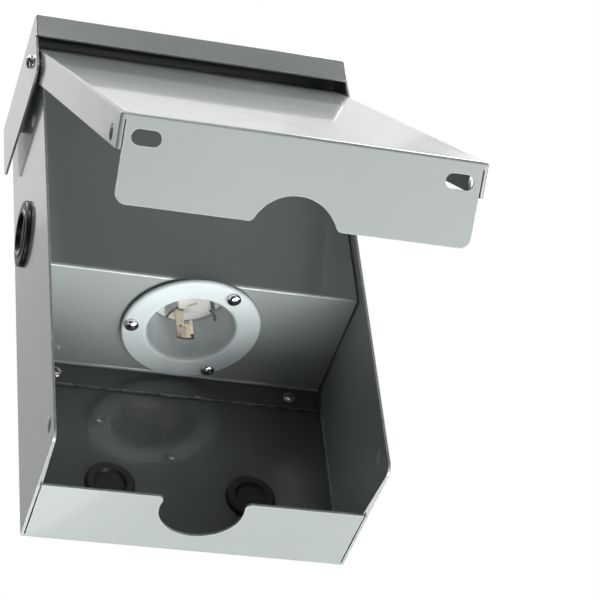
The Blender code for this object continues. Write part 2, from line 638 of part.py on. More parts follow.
def make_blades(metal, brass, axis):
    for name, degrees in BLADES:
        finish = metal if name == "blade_ground" else brass
        blade = make_blade(name, degrees, finish, axis)
        if name == "blade_ground":
            half = BLADE_THICKNESS / 2
            depth = (BLADE_ROOT - BLADE_TIP) / BLADE_ROWS
            bm = box_mesh((-half - GROUND_HOOK, -half, 0), (0.4 * half, half, depth - 0.4 * MM))
            turn = math.radians(degrees) - BLADE_SPAN / 2
            reach = half / BLADE_CIRCLE
            spot = on_circle(BLADE_CIRCLE, math.degrees(turn + reach), BLADE_TIP + 0.2 * MM)
            hook = finish_mesh("ground_hook", bm, axis, None, spot, (0, 0, turn + reach), smooth=False)
            boolean(blade, hook, "UNION")


def make_terminal_cover(plastic, brass, steel, axis):
    """The back half of the inlet, with a wire terminal for each blade and the two screws that hold it."""
    low = CUP_BACK + GAP
    radius = COVER_RADIUS
    profile = [(0, COVER_BACK), (radius - 3 * MM, COVER_BACK), (radius, COVER_BACK - 2 * MM), (radius, low),
               (0, low)]
    cover = turned("inlet_rear_cover", profile, axis, plastic, segments=32)
    reach = 5 * MM
    for index, (_, degrees) in enumerate(BLADES):
        turn = math.radians(degrees)
        seat = radius - TERMINAL_SETBACK
        bm = box_mesh((seat, -reach, low + TERMINAL_SETBACK), (radius + reach, reach, COVER_BACK + reach))
        boolean(cover, finish_mesh("terminal_recess", bm, axis, rotation=(0, 0, turn), smooth=False))
        height = low + TERMINAL_HEIGHT
        bore = [(0, reach), (SMALL_HOLE, reach), (SMALL_HOLE, -reach), (0, -reach)]
        spot = on_circle(seat, degrees, height)
        boolean(cover, turned("terminal_bore", bore, axis, None, spot, (0, math.pi / 2, turn), 16))
        head = on_circle(seat + GAP, degrees, height)
        metal = brass if index else steel
        make_screw(f"terminal_screw_{index + 1}", axis, metal, head, (0, math.pi / 2, turn),
                   TERMINAL_SCREW_SIZE, TERMINAL_SCREW_LENGTH, "slot")
    for index, degrees in enumerate((0, 180)):
        spot = on_circle(COVER_SCREW_CIRCLE, degrees, COVER_BACK)
        drill("cover_screw_hole", cover, spot, SMALL_HOLE, 2 * COVER_SCREW_LENGTH + GAP, "Z", axis, 20)
        head = on_circle(COVER_SCREW_CIRCLE, degrees, COVER_BACK + GAP)
        make_screw(f"cover_screw_{index + 1}", axis, steel, head, (0, 0, 0), COVER_SCREW_SIZE,
                   COVER_SCREW_LENGTH, "plain")


# Fixings

def make_screw(name, parent, material, location, rotation, size, length, drive="cross", segments=18):
    """A pan-head screw whose head stands along its own +Z; drive is cross, slot or plain."""
    radius, height, shank = size
    profile = [(0, height), (0.55 * radius, 0.93 * height), (0.9 * radius, 0.6 * height),
               (radius, 0.15 * height), (radius, 0), (shank, 0), (shank, -length), (0, -length)]
    screw = turned(name, profile, parent, material, location, rotation, segments)
    half = 0.13 * radius
    reach = {"slot": 1.2 * radius, "cross": 0.55 * radius}.get(drive, 0)
    blades = {"slot": 1, "cross": 2}.get(drive, 0)
    for blade in range(blades):
        bm = box_mesh((-reach, -half, 0.45 * height), (reach, half, 1.5 * height))
        bmesh.ops.rotate(bm, matrix=Matrix.Rotation(blade * math.pi / 2, 3, "Z"), verts=bm.verts)
        boolean(screw, finish_mesh(name + "_driver", bm, parent, None, location, rotation, smooth=False))
    return screw


def make_pivots(steel, nylon):
    names = {-1: "left", 1: "right"}
    for side in (-1, 1):
        outward = (0, side * math.pi / 2, 0)
        seat = HOOD_WIDTH / 2 + GAP
        inside = HALF - SHEET - GAP
        spot = (side * seat, PIVOT_Y, PIVOT_HEIGHT)
        make_screw("pivot_screw_" + names[side], box_frame, steel, spot, outward, PIVOT_SCREW_SIZE,
                   seat - inside + PIVOT_SCREW_END, segments=24)
        hexagon = [on_circle(NUT_CORNER, 60 * corner, 0)[:2] for corner in range(6)]
        nut = prism("pivot_nut_" + names[side], hexagon, 0, NUT_HEIGHT, box_frame, steel, "Z",
                    (side * inside, PIVOT_Y, PIVOT_HEIGHT), (0, -side * math.pi / 2, 0))
        bore = (side * inside, PIVOT_Y, PIVOT_HEIGHT)
        drill("nut_bore", nut, bore, PIVOT_RADIUS + 0.1 * MM, 2 * THROUGH, "X", box_frame)
        high = WASHER_HEIGHT
        inner = PIVOT_RADIUS + 0.1 * MM
        outer = WASHER_RADIUS
        washer = [(outer, high), (outer, 0), (inner, 0), (inner, high)]
        turned("pivot_washer_" + names[side], washer, box_frame, nylon,
               (side * (HALF + GAP), PIVOT_Y, PIVOT_HEIGHT), outward, 24)


def make_plug(name, material, location, rotation, size):
    """A press-in hole plug: a rounded lip outside, a dished middle and a barrel through the wall."""
    lip, hole, height, depth = size
    dish = 0.66 * lip
    floor = 0.25 * height
    profile = [(0, floor), (dish - 1.0 * MM, floor), (dish, height), (lip - 1.4 * MM, height),
               (lip - 0.4 * MM, 0.75 * height), (lip, 0.3 * height), (lip, 0), (hole - GAP, 0),
               (hole - GAP, -depth), (0, -depth)]
    return turned(name, profile, box_frame, material, location, rotation, 32)


def make_fixings(chrome, zinc, green, black, rubber, axis):
    short = 0.2 * MM                # the screws into the back wall end this far inside it
    for index, degrees in enumerate(RING_SCREW_ANGLES):
        spot = on_circle(SCREW_CIRCLE, degrees, RING_FACE - GAP)
        make_screw(f"ring_screw_{index + 1}", axis, chrome, spot, (math.pi, 0, math.radians(20 * index)),
                   RING_SCREW_SIZE, RING_SCREW_LENGTH)
    for side, word in ((-1, "left"), (1, "right")):
        seat = REAR_FLANGE_Y - GAP
        make_screw("bracket_screw_" + word, box_frame, zinc, (side * FLANGE_SCREW[0], seat, FLANGE_SCREW[1]),
                   (math.pi / 2, 0, 0), BRACKET_SCREW_SIZE, -seat - short)
        make_plug("back_plug_" + word, rubber, (side * BACK_PLUG_X, -SHEET - GAP, BACK_PLUG_HEIGHT),
                  (math.pi / 2, 0, 0), BACK_PLUG_SIZE)
    make_plug("side_plug", black, (-HALF - GAP, *SIDE_PLUG), (0, -math.pi / 2, 0), SIDE_PLUG_SIZE)
    make_screw("ground_screw", box_frame, green, (GROUND_SCREW[0], -SHEET - GAP, GROUND_SCREW[1]),
               (math.pi / 2, 0, 0), GROUND_SCREW_SIZE, SHEET + GAP - short, "slot")


def main():
    global parts, cutters, box_frame
    clear_scene()
    parts = new_collection("generator_inlet_box")
    cutters = new_collection("cutters")
    box_frame = new_empty("box_frame", (0, 0, -MOUNT_HEIGHT))
    shelf_y = BRACKET_FRONT_Y + INLET_SETBACK * math.cos(SLOPE)
    shelf_z = SHELF_FRONT - INLET_SETBACK * math.sin(SLOPE)
    inlet_axis = new_empty("inlet_axis", (0, shelf_y, shelf_z), box_frame, (-SLOPE, 0, 0))

    paint = make_material("case_paint", (0.36, 0.39, 0.37), 0.25)
    hood_paint = make_material("hood_paint", (0.34, 0.36, 0.34), 0.25)
    lid_paint = make_material("lid_paint", (0.38, 0.41, 0.39), 0.25)
    bracket_paint = make_material("bracket_paint", (0.32, 0.35, 0.33), 0.25)
    nylon = make_material("white_nylon", (0.80, 0.86, 0.86), 0.35)
    ceramic = make_material("ivory_base", (0.82, 0.77, 0.66), 0.4)
    brass = make_material("plated_brass", (0.72, 0.62, 0.45), 0.3, 1.0)
    steel = make_material("plated_steel", (0.62, 0.62, 0.63), 0.3, 1.0)
    chrome = make_material("chrome", (0.8, 0.8, 0.8), 0.12, 1.0)
    zinc = make_material("zinc_plate", (0.5, 0.5, 0.5), 0.3, 1.0)
    green = make_material("green_ground", (0.05, 0.3, 0.1), 0.35, 0.6)
    black = make_material("black_plastic", (0.015, 0.015, 0.015), 0.35)
    rubber = make_material("black_rubber", (0.02, 0.02, 0.02), 0.6)
    washer_nylon = make_material("washer_nylon", (0.7, 0.7, 0.68), 0.5)
    cover_plastic = make_material("cover_plastic", (0.05, 0.05, 0.05), 0.5)

    make_case(paint)
    make_hood(hood_paint)
    make_lid(lid_paint)
    make_bracket(bracket_paint, inlet_axis)
    make_ring_and_cup(nylon, inlet_axis)
    make_gasket(rubber, inlet_axis)
    make_base(ceramic, inlet_axis)
    make_blades(steel, brass, inlet_axis)
    make_terminal_cover(cover_plastic, brass, steel, inlet_axis)
    make_pivots(steel, washer_nylon)
    make_fixings(chrome, zinc, green, black, rubber, inlet_axis)
    bpy.context.view_layer.update()


main()
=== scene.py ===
"""The looks of the generator inlet box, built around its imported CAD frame.

The folded sheets, the turned mouldings, the blades and the screws are made again here with fine bends,
rounded sheet edges and procedural materials. All lengths are in metres, in the frame of the CAD model:
the origin is the middle of the back wall, +Z is up and the lid faces -Y.
"""
import math

import bmesh
import bpy
from mathutils import Matrix, Vector


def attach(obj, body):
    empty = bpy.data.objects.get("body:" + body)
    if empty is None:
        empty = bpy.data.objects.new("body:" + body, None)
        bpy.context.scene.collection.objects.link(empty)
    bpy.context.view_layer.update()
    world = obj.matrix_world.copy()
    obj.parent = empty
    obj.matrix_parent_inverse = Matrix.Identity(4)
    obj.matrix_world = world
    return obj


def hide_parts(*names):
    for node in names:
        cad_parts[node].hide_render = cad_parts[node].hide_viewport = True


MM = 0.001
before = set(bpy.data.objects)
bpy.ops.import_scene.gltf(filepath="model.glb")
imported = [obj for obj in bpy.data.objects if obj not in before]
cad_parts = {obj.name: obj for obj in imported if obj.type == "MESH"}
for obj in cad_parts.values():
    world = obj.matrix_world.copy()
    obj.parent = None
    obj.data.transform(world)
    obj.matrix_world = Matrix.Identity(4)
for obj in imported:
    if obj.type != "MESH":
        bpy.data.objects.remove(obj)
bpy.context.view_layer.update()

# Finer than the CAD model's, or for the looks alone
BEND = 1.5 * MM  # outer radius of a sheet-metal bend
BEND_STEPS = 8
EDGE = 0.28 * MM  # rounding of a cut, painted sheet edge
SIDE_SLIT = 1.0 * MM  # between the bracket and each wall
MARK_WIDTH = 1.3 * MM

# The CAD model's sizes, down to the pivot screws. Heights are from the case's bottom edge.
SHEET = 1.2 * MM
GAP = 0.3 * MM  # between pieces that touch
CLEAR = 6 * MM  # length of a cutter through one sheet

# Case
FLOOR = -0.135  # the case's bottom edge, below the origin
WIDTH = 160 * MM
DEPTH = 78 * MM
HEIGHT = 270.4 * MM  # to the top of the hood
CASE_HEIGHT = HEIGHT - SHEET - GAP
HALF = WIDTH / 2
TOP_FLANGE = 12 * MM
BOTTOM_PANEL = 41.5 * MM
CORNER = 5 * MM
MOUNT_HOLE = 3.3 * MM
MOUNT_HOLE_X = 58 * MM
MOUNT_HOLE_HEIGHTS = (128 * MM, 238 * MM)

# Hood
HOOD_WIDTH = 169 * MM
HOOD_DEPTH = 86.3 * MM
HOOD_FRONT = 16.4 * MM
HOOD_SIDE = 41.4 * MM
HOOD_TAPER = 62 * MM  # the side flanges rise over this length towards the wall
HOOD_RISE = 4.5 * MM
HOOD_REAR_RADIUS = 4 * MM

# Lid, described as it lies closed
PIVOT_Y = -72 * MM
PIVOT_HEIGHT = 248.5 * MM
PIVOT_HOLE = 2.0 * MM
PIVOT_RADIUS = 1.92 * MM
REST_ANGLE = math.radians(37.5)
MAX_ANGLE = math.radians(72)
LID_WIDTH = 164.4 * MM
LID_FACE = -79.7 * MM
LID_BOTTOM = -1.8 * MM
LID_TOP = 259.5 * MM
LID_SIDE = 16.2 * MM
LID_FLANGE = 39 * MM
LID_FLANGE_HALF = 79.7 * MM
LID_SLIT = 0.7 * MM
LID_SLIT_START = 3.2 * MM
LID_SLOT = (70 * MM, LID_FACE + 10 * MM)
LID_SLOT_REACH = 3.1 * MM  # from the slot's middle to the middle of its round end
LID_SLOT_RADIUS = 3.5 * MM

# Cord notch, shared by the bottom panel and the lid's bottom flange
NOTCH_Y = -33.6 * MM
NOTCH_RADIUS = 20.4 * MM
NOTCH_FILLET = 3.2 * MM

# Dimples pressed out of the side walls; the lid's catch holes drop over the lower two
DIMPLE_RADIUS = 4.6 * MM
DIMPLE_HEIGHT = 0.8 * MM
CATCH = (-68.5 * MM, 14 * MM)  # y and height
CATCH_HOLE = 3.9 * MM
UPPER_DIMPLE = (-54.5 * MM, 224.5 * MM)

# Inlet bracket
BRACKET_FRONT = -71.5 * MM
BRACKET_TOP = 254.5 * MM
BRACKET_RETURN = 10 * MM
SHELF_FRONT = 110.3 * MM
SHELF_REAR = 107.8 * MM
REAR_FLANGE = -(SHEET + GAP + SHEET)
REAR_FLANGE_BOTTOM = 93.8 * MM
FLANGE_SCREW = (61 * MM, 100 * MM)  # x and height
NUT_NOTCH_X = 73.4 * MM  # the top corners are cut away round the pivot nuts
NUT_NOTCH_BOTTOM = 243.6 * MM
SLOPE = math.atan2(SHELF_FRONT - SHELF_REAR, REAR_FLANGE - BRACKET_FRONT)

# Inlet, measured along its own axis from the underside of the shelf, upwards
SETBACK = 31.8 * MM  # from the front bend, along the shelf
RING_RADIUS = 34.9 * MM
RING_TOP = -1.4 * MM
RING_FACE = -3.6 * MM
MOUTH = 22.5 * MM
BASE_RADIUS = 19.9 * MM
CUP_OUTER = 23.8 * MM
CUP_BACK = 31.7 * MM
BASE_FACE = 21.6 * MM
BASE_BACK = 31.4 * MM
SCREW_CIRCLE = 30.3 * MM
RING_SCREWS = (180, 60, -60)
WELL = (11 * MM, 268)  # circle and angle in degrees
WELL_RADIUS = 2.1 * MM
BOSS_RADIUS = 3.4 * MM
BOSS_HEIGHT = 1.5 * MM
MARK_CIRCLE = 8.6 * MM
MARK_DEPTH = 1.4 * MM
MARK_ENDS = (43, 77)  # degrees

# Blades
BLADES = (("blade_ground", 87), ("blade_hot", 207), ("blade_neutral", 327))
BLADE_CIRCLE = 12.5 * MM
BLADE_THICK = 1.5 * MM
BLADE_TIP = 2.5 * MM
BLADE_ROOT = 30.5 * MM
BLADE_SPAN = math.radians(42)
BLADE_ROOM = 0.35 * MM  # round a blade in its slot
GROUND_HOOK = 2.6 * MM

# Closures and fixings
SIDE_PLUG = (-27.2 * MM, 168.8 * MM)  # y and height, left wall
SIDE_PLUG_SIZE = (17.1 * MM, 14 * MM, 2.6 * MM, 6 * MM)  # lip, hole, height, depth
BACK_PLUG = (35.5 * MM, 34.8 * MM)  # x and height
BACK_PLUG_SIZE = (12.5 * MM, 10.6 * MM, 2.2 * MM, 1.2 * MM)
GROUND_SCREW = (45 * MM, 205 * MM)  # x and height, back wall
NUT_CORNER = 3.6 * MM
NUT_HEIGHT = 3.0 * MM
SCREW_HOLE = 2.1 * MM
SMALL_HOLE = 2.0 * MM

# Screws: head radius, head height and shank radius
RING_SCREW_SIZE = (3.6 * MM, 2.5 * MM, 1.75 * MM)
RING_SCREW_LENGTH = 9 * MM
BRACKET_SCREW_SIZE = (3.3 * MM, 2.0 * MM, 1.75 * MM)
GROUND_SCREW_SIZE = (4.6 * MM, 3.2 * MM, 1.85 * MM)
PIVOT_SCREW_SIZE = (3.6 * MM, 2.2 * MM, PIVOT_RADIUS)
PIVOT_SCREW_END = 4.2 * MM  # past the wall's inside, through the nut

# Painted shade: x, y and z ranges of recessed faces whose paint is darkened to stand for the shade there.
LOWER_BACK = ((-HALF + 2 * MM, HALF - 2 * MM), (-4 * MM, -0.6 * MM),
              (FLOOR + 1.3 * MM, FLOOR + SHELF_REAR - 0.8 * MM))
HOOD_INSIDE = ((-HOOD_WIDTH / 2 + MM, HOOD_WIDTH / 2 - MM), (-HOOD_DEPTH + MM, 0), (0, FLOOR + HEIGHT - MM))
PANEL = ((-HALF, HALF), (BRACKET_FRONT - MM, BRACKET_FRONT + MM),
         (FLOOR + SHELF_FRONT, FLOOR + BRACKET_TOP))

# The studio: the name, azimuth, elevation, power in watts and size in metres of each round light.
# Azimuth 0 is in front of the box and 90 is to its right.
LIGHTS = (
    ("over_left", 257, 60, 22, 1.0),
    ("over_right", 103, 60, 36, 1.0),
    ("over", 0, 85, 12, 1.0),
    ("front_high", 0, 34, 21, 1.0),
    ("under_right", 90, -50, 47, 2.2),
    ("under", 120, -78, 38, 1.2),
    ("under_front", 45, -50, 8, 1.6),
    ("under_near", 0, -78, 3, 1.0),
    ("left_low", 285, -22, 3, 1.0),
    ("behind_under", 180, -50, 5, 1.0),
    ("behind_wide", 180, 34, 6.4, 2.6),
    ("front_wide", 0, 60, 3.5, 2.6),
    ("behind_right_wide", 148, 58, 8, 2.6),
    ("behind_left_wide", 216, 60, 2.2, 2.6))
LIGHT_AIM = (0, -0.06, 0)
LIGHT_DISTANCE = 2.0
WORLD_FILL = 0.02
STUDIO_FLOOR = -2.4  # below the lights that stand under the box
STUDIO_RADIUS = 7.0
FLOOR_GLOW = 0.85
CAMERA_AZIMUTH = math.radians(-21.05)
CAMERA_ELEVATION = math.radians(-40.48)
CAMERA_ROLL = math.radians(-7.04)
CAMERA_TARGET = (0.0565, -0.0480, -0.0073)
CAMERA_DISTANCE = 1.1962
CAMERA_SENSOR = 36  # mm
CAMERA_LENS = 141.48  # mm
CAMERA_CLIP = 0.05

UPRIGHT = Matrix.Translation((0, 0, FLOOR))
LID_PLACE = (UPRIGHT @ Matrix.Translation((0, PIVOT_Y, PIVOT_HEIGHT)) @ Matrix.Rotation(-REST_ANGLE, 4, "X")
             @ Matrix.Translation((0, -PIVOT_Y, -PIVOT_HEIGHT)))
INLET_PLACE = UPRIGHT @ Matrix.Translation((0, BRACKET_FRONT + SETBACK * math.cos(SLOPE),
                                            SHELF_FRONT - SETBACK * math.sin(SLOPE)))
INLET_PLACE = INLET_PLACE @ Matrix.Rotation(-SLOPE, 4, "X")
TO_X = Matrix(((0, 0, 1, 0), (1, 0, 0, 0), (0, 1, 0, 0), (0, 0, 0, 1)))  # an outline's plane to Y and Z

scene = bpy.context.scene


# ---------------------------------------------------------------- materials

class Nodes:
    """A small writer of node trees."""

    def __init__(self, name):
        self.material = bpy.data.materials.new(name)
        self.material.use_nodes = True
        self.tree = self.material.node_tree
        self.shader = self.tree.nodes["Principled BSDF"]
        self.place = self.add("ShaderNodeTexCoord").outputs["Object"]

    def add(self, kind, **values):
        node = self.tree.nodes.new(kind)
        for key, value in values.items():
            setattr(node, key, value)
        return node

    def link(self, source, target):
        self.tree.links.new(source, target)

    def fill(self, socket, value):
        if isinstance(value, bpy.types.NodeSocket):
            self.link(value, socket)
        else:
            socket.default_value = value

    def noise(self, scale, detail=2.0, stretch=None, rough=0.5, distortion=0.0):
        node = self.add("ShaderNodeTexNoise")
        node.inputs["Scale"].default_value = scale
        node.inputs["Detail"].default_value = detail
        node.inputs["Roughness"].default_value = rough
        node.inputs["Distortion"].default_value = distortion
        source = self.place
        if stretch:
            mapping = self.add("ShaderNodeMapping")
            mapping.inputs["Scale"].default_value = stretch
            self.link(self.place, mapping.inputs["Vector"])
            source = mapping.outputs["Vector"]
        self.link(source, node.inputs["Vector"])
        return node.outputs["Fac"]

    def range(self, source, low, high, to_low, to_high):
        node = self.add("ShaderNodeMapRange")
        self.link(source, node.inputs["Value"])
        for key, value in (("From Min", low), ("From Max", high), ("To Min", to_low), ("To Max", to_high)):
            node.inputs[key].default_value = value
        return node.outputs["Result"]

    def mix(self, factor, first, second):
        node = self.add("ShaderNodeMix", data_type="RGBA")
        self.fill(node.inputs["Factor"], factor)
        for socket, value in ((node.inputs[6], first), (node.inputs[7], second)):
            self.fill(socket, value if isinstance(value, bpy.types.NodeSocket) else (*value, 1.0))
        return node.outputs[2]

    def maths(self, operation, first, second):
        node = self.add("ShaderNodeMath", operation=operation)
        self.fill(node.inputs[0], first)
        self.fill(node.inputs[1], second)
        return node.outputs[0]

    def bump(self, height, distance, strength, before=None):
        node = self.add("ShaderNodeBump")
        node.inputs["Strength"].default_value = strength
        node.inputs["Distance"].default_value = distance
        self.link(height, node.inputs["Height"])
        if before is not None:
            self.link(before, node.inputs["Normal"])
        return node.outputs["Normal"]

    def edges(self, radius, amount):
        """High along sharp edges, broken up by noise, and zero on the flats."""
        rounded = self.add("ShaderNodeBevel", samples=4)
        rounded.inputs["Radius"].default_value = radius
        true = self.add("ShaderNodeNewGeometry").outputs["Normal"]
        dot = self.add("ShaderNodeVectorMath", operation="DOT_PRODUCT")
        self.link(rounded.outputs["Normal"], dot.inputs[0])
        self.link(true, dot.inputs[1])
        line = self.range(dot.outputs["Value"], 0.99, 0.86, 0.0, amount)
        return self.maths("MULTIPLY", line, self.range(self.noise(210, 4, None, 0.65), 0.42, 0.6, 0.15, 1.0))

    def within(self, box, amount):
        """The amount inside a box of the part's own space, and zero outside it."""
        split = self.add("ShaderNodeSeparateXYZ")
        self.link(self.place, split.inputs[0])
        mask = amount
        soft = 0.4 * MM
        for name, (low, high) in zip("XYZ", box):
            above = self.range(split.outputs[name], low, low + soft, 0.0, 1.0)
            below = self.range(split.outputs[name], high, high - soft, 0.0, 1.0)
            mask = self.maths("MULTIPLY", self.maths("MULTIPLY", above, below), mask)
        return mask

    def set(self, **values):
        names = {"color": "Base Color", "roughness": "Roughness", "metallic": "Metallic", "normal": "Normal",
                 "coat": "Coat Weight", "coat_roughness": "Coat Roughness", "specular": "Specular IOR Level",
                 "subsurface": "Subsurface Weight"}
        for key, value in values.items():
            self.fill(self.shader.inputs[names[key]], value)
        return self.material


def shade(color, factor):
    return tuple(min(1.0, channel * factor) for channel in color)


def paint_material(name, color, painted_shade_boxes=()):
    """Glossy powder coat: fine orange peel, faint pigment clouds, handling haze, and sharp edges lightened as
    rubbed wear and as a painted highlight.

    Inside the given boxes the colour is darkened: painted shade, which deepens the shade that the studio
    lights leave in these recesses.
    """
    n = Nodes(name)
    clouds = n.range(n.noise(14, 3), 0.3, 0.7, 0.0, 1.0)
    tint = n.mix(clouds, shade(color, 0.975), shade(color, 1.025))
    speck = n.range(n.noise(2600, 1), 0.62, 0.74, 0.0, 0.16)
    tint = n.mix(speck, tint, shade(color, 0.8))
    # Painted shade: the colour is darkened inside each given box of recessed faces.
    for box, amount in painted_shade_boxes:
        tint = n.mix(n.within(box, amount), tint, shade(color, 0.12))
    # Sharp edges are lightened: partly rubbed wear, partly a painted highlight along them.
    wear_and_highlight = n.edges(0.0008, 0.8)
    tint = n.mix(wear_and_highlight, tint, shade(color, 2.0))
    haze = n.range(n.noise(26, 4, (1, 1, 0.35), 0.6, 0.4), 0.45, 0.75, 0.0, 0.05)
    peel = n.noise(620, 2, None, 0.45)
    fine = n.noise(2100, 1)
    normal = n.bump(peel, 0.00003, 0.55)
    normal = n.bump(fine, 0.000006, 0.5, normal)
    roughness = n.maths("ADD", n.maths("ADD", haze, 0.16), n.maths("MULTIPLY", wear_and_highlight, 0.5))
    return n.set(color=tint, roughness=roughness, normal=normal, coat=0.6, coat_roughness=0.045, specular=0.5)


def nylon_material():
    n = Nodes("look_white_nylon")
    clouds = n.range(n.noise(60, 3), 0.35, 0.65, 0.0, 1.0)
    color = n.mix(clouds, (0.565, 0.628, 0.632), (0.583, 0.643, 0.647))
    flow = n.noise(500, 2, (1, 1, 0.2))
    normal = n.bump(flow, 0.00002, 0.35)
    n.shader.inputs["Subsurface Radius"].default_value = (0.9, 1.0, 1.1)
    n.shader.inputs["Subsurface Scale"].default_value = 0.0022
    roughness = n.range(n.noise(240, 2), 0.3, 0.7, 0.4, 0.48)
    return n.set(color=color, roughness=roughness, normal=normal, subsurface=0.45, specular=0.2)


def ivory_material():
    n = Nodes("look_ivory_base")
    clouds = n.range(n.noise(150, 4), 0.35, 0.7, 0.0, 1.0)
    color = n.mix(clouds, (0.95, 0.925, 0.88), (0.98, 0.965, 0.93))
    specks = n.range(n.noise(1900, 1), 0.66, 0.74, 0.0, 0.35)
    color = n.mix(specks, color, (0.6, 0.52, 0.42))
    normal = n.bump(n.noise(1300, 2), 0.00002, 0.4)
    return n.set(color=color, roughness=0.36, normal=normal, specular=0.45)


def shroud_material():
    """The grey lining of the inlet's recess: a glossy moulding with soft streaks down its depth."""
    n = Nodes("look_shroud")
    streaks = n.noise(260, 3, (1, 1, 0.12))
    color = n.mix(n.range(streaks, 0.35, 0.65, 0.0, 1.0), (0.50, 0.545, 0.565), (0.535, 0.58, 0.60))
    rough = n.range(n.noise(400, 2), 0.3, 0.7, 0.3, 0.36)
    normal = n.bump(n.noise(700, 2), 0.00001, 0.4)
    return n.set(color=color, roughness=rough, normal=normal, coat=0.4, coat_roughness=0.15)


def metal_material(name, color, roughness, grain=(1, 1, 12), stain=None):
    """Plated or bare metal with drawn grain, small pits and, if asked, an uneven stain."""
    n = Nodes(name)
    lines = n.noise(1500, 3, grain, 0.6)
    tint = n.mix(n.range(lines, 0.3, 0.7, 0.0, 1.0), shade(color, 0.9), shade(color, 1.06))
    if stain:
        tint = n.mix(n.range(n.noise(320, 3), 0.48, 0.68, 0.0, 0.75), tint, stain)
    rough = n.range(lines, 0.3, 0.7, roughness * 0.8, roughness * 1.3)
    normal = n.bump(lines, 0.00001, 0.35)
    normal = n.bump(n.noise(900, 1), 0.00002, 0.12, normal)
    return n.set(color=tint, roughness=rough, normal=normal, metallic=1.0)


def plastic_material(name, color, roughness, grain=900, depth=0.00003, coat=0.0):
    n = Nodes(name)
    tint = n.mix(n.range(n.noise(90, 3), 0.35, 0.7, 0.0, 1.0), shade(color, 0.85), shade(color, 1.25))
    rough = n.range(n.noise(300, 2), 0.3, 0.7, roughness * 0.85, roughness * 1.2)
    normal = n.bump(n.noise(grain, 2), depth, 0.4)
    return n.set(color=tint, roughness=rough, normal=normal, coat=coat, coat_roughness=0.2)


# ---------------------------------------------------------------- mesh helpers

def arc(centre, radius, start, end, steps):
    """Points along an arc, its two ends included."""
    turns = [start + (end - start) * step / steps for step in range(steps + 1)]
    return [(centre[0] + radius * math.cos(turn), centre[1] + radius * math.sin(turn)) for turn in turns]


def filleted(points, steps=5, closed=False):
    """Rounds the corners of an outline of (u, v) or (u, v, radius) points."""
    rounded = []
    count = len(points)
    for index, point in enumerate(points):
        here = Vector(point[:2])
        radius = point[2] if len(point) > 2 else 0.0
        if not radius or (not closed and index in (0, count - 1)):
            rounded.append(tuple(here))
            continue
        before = (Vector(points[index - 1][:2]) - here).normalized()
        after = (Vector(points[(index + 1) % count][:2]) - here).normalized()
        angle = before.angle(after)
        reach = radius / math.tan(angle / 2)
        centre = here + (before + after).normalized() * radius / math.sin(angle / 2)
        first = here + before * reach - centre
        last = here + after * reach - centre
        start = math.atan2(first.y, first.x)
        swing = (math.atan2(last.y, last.x) - start + math.pi) % (2 * math.pi) - math.pi
        rounded += arc(centre, radius, start, start + swing, steps)
    return rounded


def box_bmesh(low, high):
    bm = bmesh.new()
    bmesh.ops.create_cube(bm, size=1.0)
    bmesh.ops.scale(bm, vec=Vector(high) - Vector(low), verts=bm.verts)
    bmesh.ops.translate(bm, vec=(Vector(high) + Vector(low)) / 2, verts=bm.verts)
    return bm


def prism_bmesh(outline, low, high, axis="Z"):
    """A flat outline drawn out from low to high along an axis."""
    bm = bmesh.new()
    face = bm.faces.new([bm.verts.new((u, v, low)) for u, v in outline])
    swept = bmesh.ops.extrude_face_region(bm, geom=[face])
    top = [item for item in swept["geom"] if isinstance(item, bmesh.types.BMVert)]
    bmesh.ops.translate(bm, vec=(0, 0, high - low), verts=top)
    if axis == "X":
        bmesh.ops.transform(bm, matrix=TO_X, verts=bm.verts)
    bmesh.ops.recalc_face_normals(bm, faces=bm.faces)
    return bm


def lathe_bmesh(profile, segments):
    """A closed solid turned about Z from (radius, height) points."""
    bm = bmesh.new()
    rings = []
    for radius, height in profile:
        if radius < 1e-7:
            rings.append([bm.verts.new((0, 0, height))] * segments)
            continue
        ring = [(math.cos(2 * math.pi * k / segments), math.sin(2 * math.pi * k / segments))
                for k in range(segments)]
        rings.append([bm.verts.new((radius * c, radius * s, height)) for c, s in ring])
    pairs = list(zip(rings, rings[1:]))
    if profile[0][0] > 1e-7 and profile[-1][0] > 1e-7:
        pairs.append((rings[-1], rings[0]))
    for upper, lower in pairs:
        for k in range(segments):
            nxt = (k + 1) % segments
            corners = []
            for vert in (upper[k], lower[k], lower[nxt], upper[nxt]):
                if vert not in corners:
                    corners.append(vert)
            if len(corners) > 2:
                bm.faces.new(corners)
    bmesh.ops.recalc_face_normals(bm, faces=bm.faces)
    return bm


def to_object(name, bm, matrix=None):
    if matrix is not None:
        bmesh.ops.transform(bm, matrix=matrix, verts=bm.verts)
    mesh = bpy.data.meshes.new(name)
    bm.to_mesh(mesh)
    bm.free()
    obj = bpy.data.objects.new(name, mesh)
    scene.collection.objects.link(obj)
    return obj


def bake(obj):
    """Applies an object's modifiers to its mesh."""
    bpy.context.view_layer.update()
    graph = bpy.context.evaluated_depsgraph_get()
    mesh = bpy.data.meshes.new_from_object(obj.evaluated_get(graph), preserve_all_data_layers=True,
                                           depsgraph=graph)
    old = obj.data
    obj.modifiers.clear()
    obj.data = mesh
    bpy.data.meshes.remove(old)


def cut(obj, tools, operation="DIFFERENCE"):
    """Cuts or joins a list of bmeshes into an object, in turn."""
    for bm in tools:
        tool = to_object("tool", bm)
        modifier = obj.modifiers.new("cut", "BOOLEAN")
        modifier.operation = operation
        modifier.solver = "EXACT"
        modifier.object = tool
        bake(obj)
        bpy.data.objects.remove(tool, do_unlink=True)


def clean(obj, angle=0.006):
    """Merges the stray points that a cut leaves, and joins faces that lie in one plane."""
    speck = 0.00001
    bm = bmesh.new()
    bm.from_mesh(obj.data)
    bmesh.ops.remove_doubles(bm, verts=bm.verts, dist=speck)
    bmesh.ops.dissolve_degenerate(bm, edges=bm.edges, dist=speck)
    bmesh.ops.dissolve_limit(bm, angle_limit=angle, verts=bm.verts, edges=bm.edges)
    bm.to_mesh(obj.data)
    bm.free()


